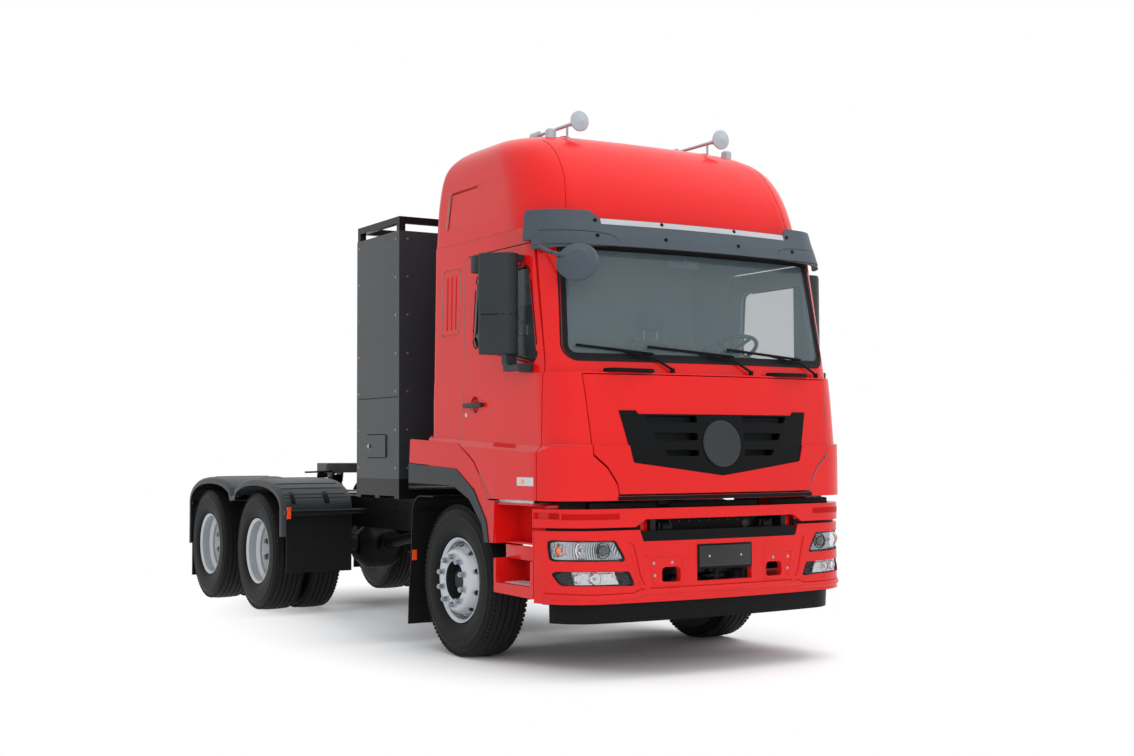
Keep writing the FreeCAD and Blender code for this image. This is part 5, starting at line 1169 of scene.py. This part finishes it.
def repeater_body(s):
    """The body whose surface lies under the repeater lamp."""
    hits = [(onto(skin_of(name), *flank(s, 1.10, 1.25)), body) for name, body in BODY_UNDER]
    return max([(abs(hit[0].y), body) for hit, body in hits if hit])[1]


def make_door_fittings():
    for side, s in SIDES:
        body = "door_" + side
        hit = onto(skin_of(body), *flank(s, 0.213, 1.698))
        piece("door_lock_" + side, [turned(LOCK, 24, aim(*hit))], "bright_steel", body)
        boxed("door_grip_" + side, (0.205, s * 1.199, 1.747), (0.465, s * 1.229, 1.779), "grey_plastic",
              body, 0.011, 4)
        shell = skin_of("cab_shell", body, "arch_flares", "bumper", "lower_steps")
        rows = patch(shell, 25, 5, lambda u, v: flank(s, 0.994 + 0.203 * u, 1.223 + 0.055 * v))
        sunk = [[(place - normal * 0.006, normal) if i in (0, 24) or j in (0, 4) else (place, normal)
                 for j, (place, normal) in enumerate(row)] for i, row in enumerate(rows)]
        piece("repeater_" + side, [sheet(sunk, 0.009)], "lens_cover", repeater_body(s), 40)
        bulb = [row[1:4] for row in rows[8:13]]
        piece("repeater_bulb_" + side, [sheet(bulb, 0.0105)], "amber", repeater_body(s), 40)


make_door_fittings()


# Mirrors
# A main and a wide glass face back from each housing, and a dark seam runs across its front. The housings'
# moulded edges are rounded for the eye.
MIRROR_GLASSES = ((2.120, 2.330), (2.345, 2.700))
MIRROR_SEAM_Y = (1.222, 1.30, 1.38, 1.446)
MIRROR_SEAM_Z = 2.335


def soften(name, voxel, passes):
    """Rounds a moulded CAD piece's sharp edges for the eye. Its own mesh is unchanged."""
    remesh = nodes[name].modifiers.new("even_mesh", "REMESH")
    remesh.mode = "VOXEL"
    remesh.voxel_size = voxel
    remesh.use_smooth_shade = True
    smooth = nodes[name].modifiers.new("round_edges", "SMOOTH")
    smooth.factor = 0.5
    smooth.iterations = passes


def make_mirrors():
    for side, s in SIDES:
        name = "mirror_" + side
        soften(name, 0.006, 8)
        skin = skin_of(name)
        for number, (low, high) in enumerate(MIRROR_GLASSES, 1):
            rows = patch(skin, 17, 11,
                         lambda u, v: rear(s * (1.245 + 0.180 * v), low + (high - low) * u, -1.0))
            piece("mirror_glass_%s_%d" % (side, number), [sheet(rows, 0.003)], "mirror_glass",
                  "door_" + side, 40)
        strip("mirror_seam_" + side, skin, [front(s * y, MIRROR_SEAM_Z) for y in MIRROR_SEAM_Y], UP, 0.0035,
              0.0012, "black_plastic", "door_" + side)


make_mirrors()


# The roof and the cowl
# Horns on red pads and a rubber strip stand on the roof. Darker red strips paint the shade at its moulding's
# joints and along the edges of its side panels. Two grips sit on the cowl, and each side wall has a ribbed
# vent.
HORN_Y = 0.612
HORN_CONE = ((0.071, -0.012), (0.072, -0.002), (0.068, 0.002), (0.060, 0.004), (0.030, 0.017), (0.008, 0.027),
             (0, 0.030))
HORN_DRUM = ((0.020, -0.004), (0.036, -0.002), (0.038, 0.004), (0.033, 0.012), (0.018, 0.016), (0, 0.017))
HORN_PAD = ((0.040, -0.004), (0.040, 0.006), (0.034, 0.011), (0.014, 0.012), (0.012, 0.016), (0, 0.016))
GRIP = ((1.415, 0.834, 1.962), (1.452, 0.826, 1.964), (1.470, 0.780, 1.964), (1.480, 0.660, 1.963),
        (1.483, 0.540, 1.962), (1.468, 0.489, 1.962), (1.436, 0.481, 1.960))
JOINT = ((0.742, 0.886, 3.565), (0.850, 0.884, 3.506), (0.962, 0.890, 3.399), (1.038, 0.900, 3.277),
         (1.082, 0.918, 3.168), (1.115, 0.935, 3.042))
JOINT_LEAN = Vector((1, 0, 0.7))
VENT_RIBS = (-0.105, -0.040, 0.025)
OVER_ROOF = 4.6
roof_skin = skin_of("roof_cap", "cab_shell")


def make_roof():
    """The trumpets' mouths hold a pointed deflector cone, and the driver's drum behind has a rounded cap."""
    skin = skin_of("horns")
    mouths = [onto(skin, *front(s * HORN_Y, 3.72, 1.6))[0] for s in (-1, 1)]
    backs = [onto(skin, *rear(s * HORN_Y, 3.66, -0.6))[0] for s in (-1, 1)]
    piece("horn_cones", [turned(HORN_CONE, 40, aim(mouth, ALONG)) for mouth in mouths], "horn_silver",
          "cab", 50)
    piece("horn_drums", [turned(HORN_DRUM, 32, aim(back, (-1, 0, 0))) for back in backs], "horn_silver",
          "cab", 50)
    for side, s in SIDES:
        hit = onto(roof_skin, *above(0.575, s * 0.61, OVER_ROOF))
        piece("horn_pad_" + side, [turned(HORN_PAD, 24, aim(*hit))], "red_moulding", "cab")
        pipe("cowl_grip_" + side, [(x, s * y, z) for x, y, z in GRIP], 0.0145, "black_plastic", "cab", 3)
    strip("roof_strip", roof_skin, [above(0.530, y, OVER_ROOF) for y in (-0.28, 0.34)], ALONG, 0.030, 0.018,
          "black_plastic", "cab")


def make_roof_lines():
    for side, s in SIDES:
        # Darker red strips paint the shade at the roof moulding's joints and along its side panels' rear and
        # top edges.
        joint = [(at(x, s * y, z) + JOINT_LEAN * 0.5, -JOINT_LEAN.normalized()) for x, y, z in JOINT]
        strip("roof_joint_shade_" + side, roof_skin, joint, (0, 1, 0), 0.0030, 0.0016, "red_shadow", "cab")
        strip("roof_panel_rear_edge_" + side, roof_skin, [flank(s, -0.118, 3.045), flank(s, -0.094, 3.275)],
              ALONG, 0.010, 0.0016, "red_shadow", "cab")
        strip("roof_panel_top_edge_shade_" + side, roof_skin, [flank(s, -0.085, 3.286), flank(s, 0.300, 3.288)],
              UP, 0.007, 0.0016, "red_shadow", "cab")
        for number, x in enumerate(VENT_RIBS, 1):
            strip("vent_rib_%d_%s" % (number, side), roof_skin,
                  [flank(s, x, 2.310), flank(s, x + 0.004, 2.690)], ALONG, 0.007, 0.005, "red_paint", "cab")


make_roof()
make_roof_lines()


# The equipment rack behind the cab
# Its sheet panels are held by columns of small brass screws. The charging hatch has a round lock.
RACK_SCREW_Z = [1.323 + 0.291 * i for i in range(7)]
RACK_SEAM_Z = 1.863
rack_skin = skin_of("rack_panels", "rack_frame", "charge_door")


def make_rack():
    for side, s in SIDES:
        rays = []
        for z in RACK_SCREW_Z:
            rays += [flank(s, x, z) for x in (-1.602, -0.925)]
            for y in (1.130, 0.560):
                rays += [front(s * y, z, -0.2), rear(s * y, z, -2.4)]
        piece("rack_screws_" + side, bolts(rack_skin, rays, 0.0060, 0.003, 12), "brass", "chassis")
        strip("rack_seam_" + side, rack_skin,
              [flank(s, -1.625, RACK_SEAM_Z), flank(s, -0.885, RACK_SEAM_Z)], UP, 0.004,
              0.0012, "black_plastic", "chassis")
    piece("hatch_latch", bolts(skin_of("charge_door"), [flank(-1, -1.400, 1.490)], 0.010, 0.005, 24),
          "bright_steel", "charge_door")


make_rack()


# Steps and frame
# The step wells carry bright grip treads and a red inner panel. Rows of bolts hold the frame's brackets,
# and a release handle stands out beside the fifth wheel.
STUD = ((0.009, -0.001), (0.0075, 0.0028), (0.004, 0.0030), (0.0035, 0.0012), (0, 0.0012))
STUD_PITCH = 0.030
RAIL_BOLT_X = (-0.55, -0.75, -1.55, -1.75, -2.35, -2.55, -3.05, -3.25, -3.60, -3.75, -4.40, -4.70, -5.05,
               -5.35, -5.62)
MOUNT_BOLT_X = (-4.38, -4.25, -4.12, -3.99, -3.86)
HANDLE = ((-4.02, -0.30, 1.262), (-4.02, -0.46, 1.262), (-4.02, -0.58, 1.258), (-4.035, -0.640, 1.256),
          (-4.085, -0.655, 1.256), (-4.115, -0.640, 1.256))


def tread_on(name, skin, x_span, y_span, z, body):
    """A pressed grip plate: a grid of small raised rounds on a thin sheet."""
    y_span = sorted(y_span)
    z = onto(skin, *above(sum(x_span) / 2, sum(y_span) / 2, z + 0.08))[0].z
    shapes = [block(at(x_span[0], y_span[0], z - 0.001), at(x_span[1], y_span[1], z + 0.003), 0.0012, 1)]
    along, across = [max(2, int((high - low) / STUD_PITCH)) for low, high in (x_span, y_span)]
    for i in range(along):
        for j in range(across):
            x = x_span[0] + (x_span[1] - x_span[0]) * (i + 0.5) / along
            y = y_span[0] + (y_span[1] - y_span[0]) * (j + 0.5) / across
            shapes.append(turned(STUD, 10, Matrix.Translation(at(x, y, z + 0.003))))
    piece(name, shapes, "tread_alloy", body, 30)


def make_steps():
    for side, s in SIDES:
        boxed("door_tread_nosing_" + side, (0.700, s * 1.200, 1.104), (1.150, s * 1.214, 1.136),
              "tread_alloy", "cab", 0.004)
        boxed("step_inner_panel_" + side, (0.690, s * 1.146, 0.736), (1.170, s * 1.154, 0.830),
              "red_moulding", "chassis")
        tread_on("door_tread_" + side, skin_of("arch_flares", "lower_steps"), (0.700, 1.140),
                 (s * 1.075, s * 1.205), 1.108, "cab")
        tread_on("low_tread_" + side, skin_of("lower_steps", "bumper"), (0.730, 1.120),
                 (s * 1.040, s * 1.190), 0.580, "chassis")


def make_rails():
    rays = [(at(x, s * 1.3, z), Vector((0, -s, 0))) for s in (-1, 1) for x in RAIL_BOLT_X
            for z in (0.86, 0.93, 1.00)]
    piece("rail_bolts", bolts(skin_of("frame_rails"), rays, 0.010, 0.010), "black_paint", "chassis")
    rays = [above(x, y, 1.5) for x in MOUNT_BOLT_X for y in (-0.39, 0.39)]
    piece("mount_bolts", bolts(skin_of("fifth_wheel_mount"), rays, 0.011, 0.012), "nut_steel", "chassis")
    pipe("release_handle", HANDLE, 0.009, "black_paint", "fifth_wheel", 3)


make_steps()
make_rails()


# Fenders and the rear end
# Smooth moulded fenders with straps, ribs and reflectors cover the tandem, and the tail lamps' lenses lie on
# their housings.
FENDER_TOP = 1.205
FENDER_SHOULDER = 0.930
FENDER_HALF = 0.690
FENDER_DIP = 1.042
FENDER_ENDS = ((-3.165, 0.700), (-5.800, 0.520))
FENDER_CENTRES = (-3.855, -5.110)
FENDER_MIDDLE = sum(FENDER_CENTRES) / 2
FENDER_INSIDE = Vector((-4.48, 0.5))
ARCH_POWER = 0.87
BAND_X = (-3.86, -5.11)
RIB_X = (-3.43, -3.32, -3.24)
STRAPS = ((1.149, 1.111), (0.836, 0.788))
OVER_FENDER = 1.6
TAIL_LAMPS = (("stop", 0.386, 0.440, "red_lens"), ("turn", 0.444, 0.496, "amber"),
              ("reverse", 0.500, 0.554, "lens_cover"))


def fender_section(inner=0.575, outer=1.240):
    """Cross section of a fender as (y, depth), with a lip turned down at its outer side."""
    outer_side = ((-0.20, -0.002), (-0.045, 0.0), (-0.018, 0.005), (-0.004, 0.018), (0, 0.034), (0, 0.064),
                  (-0.008, 0.064), (-0.008, 0.036), (-0.014, 0.022), (-0.028, 0.012), (-0.05, 0.007))
    section = [(outer + y, depth) for y, depth in outer_side]
    return [(inner, 0.0), (inner + 0.2, -0.002)] + section + [(inner, 0.007)]


def fender_line():
    """Side view of the fender: an arch over each wheel and a dip between them, as (x, z)."""
    line = [(FENDER_ENDS[0][0], FENDER_ENDS[0][1] + 0.23 * i / 4) for i in range(4)]
    for ahead, centre in zip((1, -1), FENDER_CENTRES):
        for i in range(41):
            c, s = math.cos(math.pi * i / 40), math.sin(math.pi * i / 40)
            x = centre + FENDER_HALF * math.copysign(abs(c) ** ARCH_POWER, c)
            z = FENDER_SHOULDER + (FENDER_TOP - FENDER_SHOULDER) * s ** ARCH_POWER
            if (x - FENDER_MIDDLE) * ahead > (0.20 if z < FENDER_DIP else 0.035):
                line.append((x, z))
        if ahead > 0:
            line += [(FENDER_MIDDLE + 0.03, FENDER_DIP), (FENDER_MIDDLE - 0.03, FENDER_DIP)]
    return line + [(FENDER_ENDS[1][0], FENDER_SHOULDER - 0.41 * i / 6) for i in range(1, 7)]


def make_fender_shells():
    """They stand for the plain CAD fenders."""
    section = fender_section()
    wide = len(section)
    line = fender_line()
    shells = []
    for side, s in SIDES:
        vertices = []
        for i, (x, z) in enumerate(line):
            before, after = line[max(i - 1, 0)], line[min(i + 1, len(line) - 1)]
            along = Vector((after[0] - before[0], after[1] - before[1])).normalized()
            inward = Vector((-along.y, along.x))
            if inward.dot(FENDER_INSIDE - Vector((x, z))) < 0:
                inward = -inward
            vertices += [at(x + inward.x * depth, s * y, z + inward.y * depth) for y, depth in section]
        faces = lattice(len(line), wide, tube=True)
        faces += [list(range(wide)), list(range(len(vertices) - wide, len(vertices)))]
        shells.append(piece("fender_shell_" + side, [(vertices, faces)], "fender_plastic", "chassis", 45))
    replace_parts(shells[0], "rear_fenders")
    return shells


def reflector_on(name, skin, x, y, z, half, s):
    """A flat amber reflector on whatever stands furthest out under it, with a faint painted glow."""
    rows = patch(skin, 9, 5, lambda u, v: front(s * (y - 0.018 + 0.036 * v), z - half + 2 * half * u, x))
    flat = max(hit[0].x for row in rows for hit in row)
    rows = [[(Vector((flat, place.y, place.z)), Vector(ALONG)) for place, _ in row] for row in rows]
    piece(name, [sheet(rows, 0.007)], "side_reflector_painted_glow", "chassis", 40)


def make_fenders():
    shells = make_fender_shells()
    skin = skin_of(*shells)
    front_of_fender = skin_of(*shells, "fender_supports")
    for side, s in SIDES:
        for number, x in enumerate(BAND_X):
            strip("fender_band_%d_%s" % (number, side), skin,
                  [above(x, s * y, OVER_FENDER) for y in (0.640, 1.185)],
                  ALONG, 0.020, 0.005, "fender_plastic", "chassis")
        for number, x in enumerate(RIB_X, 1):
            strip("fender_rib_%d_%s" % (number, side), skin,
                  [above(x, s * y, OVER_FENDER) for y in (0.62, 1.20)],
                  ALONG, 0.012, 0.006, "fender_plastic", "chassis")
        strip("fender_seam_" + side, skin, [front(s * y, 1.040, -2.4) for y in (0.60, 1.215)], UP, 0.004,
              0.0015, "seal_rubber", "chassis")
        straps = [patch(skin, 10, 4,
                        lambda u, v: front(s * (outer + (inner - outer) * v), 1.086 - 0.096 * u, -2.4))
                  for outer, inner in STRAPS]
        piece("fender_straps_" + side, [sheet(rows, 0.006) for rows in straps], "black_plastic", "chassis",
              40)
        reflector_on("fender_reflector_" + side, front_of_fender, -2.4, 1.200, 0.911, 0.052, s)
        reflector_on("guard_reflector_" + side, skin_of("mudguards"), 0.0, 1.172, 0.682, 0.038, s)


def make_tail_lamps():
    skin = skin_of("fender_supports")
    for side, s in SIDES:
        for name, low, high, material in TAIL_LAMPS:
            rows = patch(skin, 9, 7, lambda u, v: rear(s * (low + (high - low) * v), 0.658 + 0.109 * u, -6.2))
            piece("tail_lamp_%s_%s" % (name, side), [sheet(rows, 0.0045)], material, "chassis", 40)


make_fenders()
make_tail_lamps()


# The cab's seats and bunk
# Two sprung seats and a bunk are padded cloth over plastic shells and a box.
BUNK_BOX = ((-0.315, -1.100, 1.640), (-0.090, 1.100, 1.780))
SEAT_Y = 0.520
PAD_GAP = 0.012
PAD_VOXEL = 0.011
PAD_PRESSURE = 3.0
PAD_CAP = 0.016
CLOTH_FRAMES = 20
SEAM_DEPTH = 0.010
SEAM_WIDTH = 0.022
CORNER_PULL = 0.10


def cushion_mesh(name, low, high, crown_rise, cuts):
    """A pillow-like closed form between two corners, its sides drawn in between its corners."""
    shape = bmesh.new()
    bmesh.ops.create_cube(shape, size=2)
    bmesh.ops.subdivide_edges(shape, edges=shape.edges[:], cuts=cuts, use_grid_fill=True)
    middle, half = (low + high) / 2, (high - low) / 2
    for vertex in shape.verts:
        c = vertex.co
        p = Vector([math.copysign(abs(v) ** 0.92, v) for v in c])
        p *= 1 - CORNER_PULL * (c.x ** 2 * c.y ** 2 + c.y ** 2 * c.z ** 2 + c.x ** 2 * c.z ** 2)
        p.z *= 1 + crown_rise * (1 - c.x ** 2) * (1 - c.y ** 2)
        vertex.co = middle + Vector([a * b for a, b in zip(p, half)])
    mesh = bpy.data.meshes.new(name)
    shape.to_mesh(mesh)
    shape.free()
    return bpy.data.objects.new(name, mesh)


def puff(item):
    """Swells a pad under air pressure as cloth, and lets no point move more than a cap."""
    bpy.context.view_layer.objects.active = item
    remesh = item.modifiers.new("remesh", "REMESH")
    remesh.mode = "VOXEL"
    remesh.voxel_size = PAD_VOXEL
    bpy.ops.object.modifier_apply(modifier="remesh")
    before = [v.co.copy() for v in item.data.vertices]
    cloth = item.modifiers.new("cloth", "CLOTH")
    cloth.settings.use_pressure = True
    cloth.settings.uniform_pressure_force = PAD_PRESSURE
    cloth.settings.effector_weights.gravity = 0
    cloth.settings.quality = 4
    cloth.point_cache.frame_start = 1
    cloth.point_cache.frame_end = CLOTH_FRAMES
    for number in range(1, CLOTH_FRAMES + 1):
        bpy.context.scene.frame_set(number)
    bpy.ops.object.modifier_apply(modifier="cloth")
    for vertex, old in zip(item.data.vertices, before):
        move = vertex.co - old
        if move.length > PAD_CAP:
            vertex.co = old + move * (PAD_CAP / move.length)
    bpy.context.scene.frame_set(1)


def sew(item, seams):
    """Presses seams that run fore and aft into a pad, at their places across the truck."""
    for vertex in item.data.vertices:
        for y in seams:
            off = abs(vertex.co.y - y) / SEAM_WIDTH
            if off < 1:
                vertex.co -= vertex.normal * SEAM_DEPTH * (1 - off) ** 2


def pad(name, low, high, crown_rise, seams=(), material="seat_cloth", cuts=9):
    gap = Vector((PAD_GAP,) * 3)
    item = cushion_mesh(name, at(*low) + gap, at(*high) - gap, crown_rise, cuts)
    bpy.context.scene.collection.objects.link(item)
    puff(item)
    sew(item, seams)
    item.data.materials.clear()
    item.data.materials.append(finishes[material])
    item.data.shade_smooth()
    subdivision = item.modifiers.new("smooth", "SUBSURF")
    subdivision.levels = 1
    subdivision.render_levels = 1
    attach(item, "cab")
    return item


def make_seats():
    posts = []
    for side, s in SIDES:
        y = s * SEAT_Y
        base = [block(at(0.20, y - 0.17, 1.03), at(0.54, y + 0.17, 1.40), 0.02, 3)]
        for z in [1.10 + 0.045 * i for i in range(6)]:
            base.append(block(at(0.185, y - 0.185, z), at(0.555, y + 0.185, z + 0.022), 0.010))
        base.append(block(at(0.14, y - 0.21, 1.40), at(0.62, y + 0.21, 1.485), 0.025, 3))
        piece("seat_base_" + side, base, "dash_plastic", "cab")
        shell = [block(at(-0.055, y - 0.215, 1.55), at(0.005, y + 0.215, 2.30), 0.028, 3)]
        for rail in (y - 0.243, y + 0.243):
            shell.append(block(at(0.13, rail - 0.012, 1.475), at(0.34, rail + 0.012, 1.540), 0.010))
        piece("seat_shell_" + side, shell, "seat_edge", "cab")
        pad("seat_cushion_" + side, (0.125, y - 0.245, 1.495), (0.645, y + 0.245, 1.655), 0.12,
            (y - 0.15, y + 0.15))
        pad("seat_back_" + side, (-0.045, y - 0.235, 1.590), (0.150, y + 0.235, 2.325), 0.0,
            (y - 0.145, y + 0.145))
        pad("head_rest_" + side, (-0.060, y - 0.135, 2.350), (0.055, y + 0.135, 2.535), 0.0)
        posts += [turned(((0.007, 0), (0.007, 0.10)), 12, Matrix.Translation(at(-0.005, y + offset, 2.29)))
                  for offset in (-0.06, 0.06)]
    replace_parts(piece("head_rest_posts", posts, "bright_steel", "cab"), "seats")


def make_bunk():
    mattress = pad("bunk_mattress", *BUNK_BOX, 0.05, (-0.55, 0.0, 0.55), "bed_cloth", 13)
    low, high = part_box("bunk")
    box = block((low[0] + 0.002, low[1] + 0.01, low[2] + 0.002),
                (high[0] - 0.01, high[1] - 0.01, AXLE_Z + 1.095), 0.012, 3)
    piece("bunk_box", [box], "lining", "cab")
    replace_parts(mattress, "bunk")


make_seats()
make_bunk()


# Dashboard and steering wheel
# A thick rim on four spokes replaces the plain ring. The dials and vents lie on the dashboard, and a
# mirror, two visors and a shelf hang over the windscreen.
MIRROR_STEM = ((1.165, -0.020, 2.735), (1.200, -0.020, 2.780), (1.215, -0.020, 2.830))
DIALS = ((0.455, 0.050), (0.645, 0.050), (0.550, 0.030))
VENT_Y = (-0.95, -0.45, 0.0, 0.95)
WHEEL_CENTRE = at(0.920, 0.550, 2.150)
WHEEL_TILT = math.radians(28)
RIM_RADIUS, RIM_HALF = 0.212, 0.0145
RIM_COUNT, RIM_SIDES = 72, 14
SPOKES = (0.25, math.pi - 0.25, -0.9, math.pi + 0.9)
WHEEL_BOSS = ((0, -0.045), (0.045, -0.040), (0.062, -0.025), (0.070, -0.010), (0.064, 0.000), (0.040, 0.007),
              (0, 0.009))


def make_cab_fittings():
    boxed("inner_mirror_shell", (1.145, -0.150, 2.690), (1.165, 0.110, 2.755), "dash_plastic", "cab", 0.009)
    pipe("inner_mirror_stem", MIRROR_STEM, 0.007, "dash_plastic", "cab")
    for side, s in SIDES:
        y = s * 0.560
        boxed("sun_visor_" + side, (1.150, y - 0.250, 2.800), (1.175, y + 0.250, 2.905), "lining", "cab",
              0.010)
    boxed("overhead_shelf", (0.960, -0.980, 2.900), (1.130, 0.980, 2.960), "lining", "cab", 0.015)
    skin = skin_of("dashboard")
    dials = []
    for y, r in DIALS:
        dial = ((r * 1.08, -0.002), (r * 1.08, 0.006), (r, 0.007), (r * 0.96, 0.002), (0, 0.001))
        dials.append(turned(dial, 32, aim(*onto(skin, *rear(y, 1.945, 0.60)))))
    piece("instrument_dials", dials, "seat_edge", "cab", 50)
    hits = [onto(skin, *rear(y, 1.760 + 0.018 * i, 0.60)) for y in VENT_Y for i in range(5)]
    slat = Vector((-0.006, -0.075, -0.004)), Vector((0.002, 0.075, 0.004))
    vents = [block(hit[0] + slat[0], hit[0] + slat[1], 0.002, 1)
             for hit in hits if hit]
    piece("dashboard_vents", vents, "seat_edge", "cab")


def make_steering_wheel():
    ring = []
    for i in range(RIM_COUNT):
        turn = Matrix.Rotation(2 * math.pi * i / RIM_COUNT, 4, "Z")
        for k in range(RIM_SIDES):
            t = 2 * math.pi * k / RIM_SIDES
            ring.append(turn @ Vector((RIM_RADIUS + RIM_HALF * math.cos(t), 0, RIM_HALF * math.sin(t))))
    spoke = block((0.045, -0.017, -0.020), (0.205, 0.017, -0.006), 0.006)
    shapes = [(ring, lattice(RIM_COUNT, RIM_SIDES, loop=True, tube=True))]
    shapes += [moved(spoke, Matrix.Rotation(angle, 4, "Z")) for angle in SPOKES] + [turned(WHEEL_BOSS, 36)]
    stand = Matrix.Translation(WHEEL_CENTRE) @ Matrix.Rotation(-WHEEL_TILT, 4, "Y")
    wheel = piece("wheel_rim_and_spokes", [moved(shape, stand) for shape in shapes], "seat_edge",
                  "steering_wheel", 40)
    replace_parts(wheel, "steering_wheel")


make_cab_fittings()
make_steering_wheel()
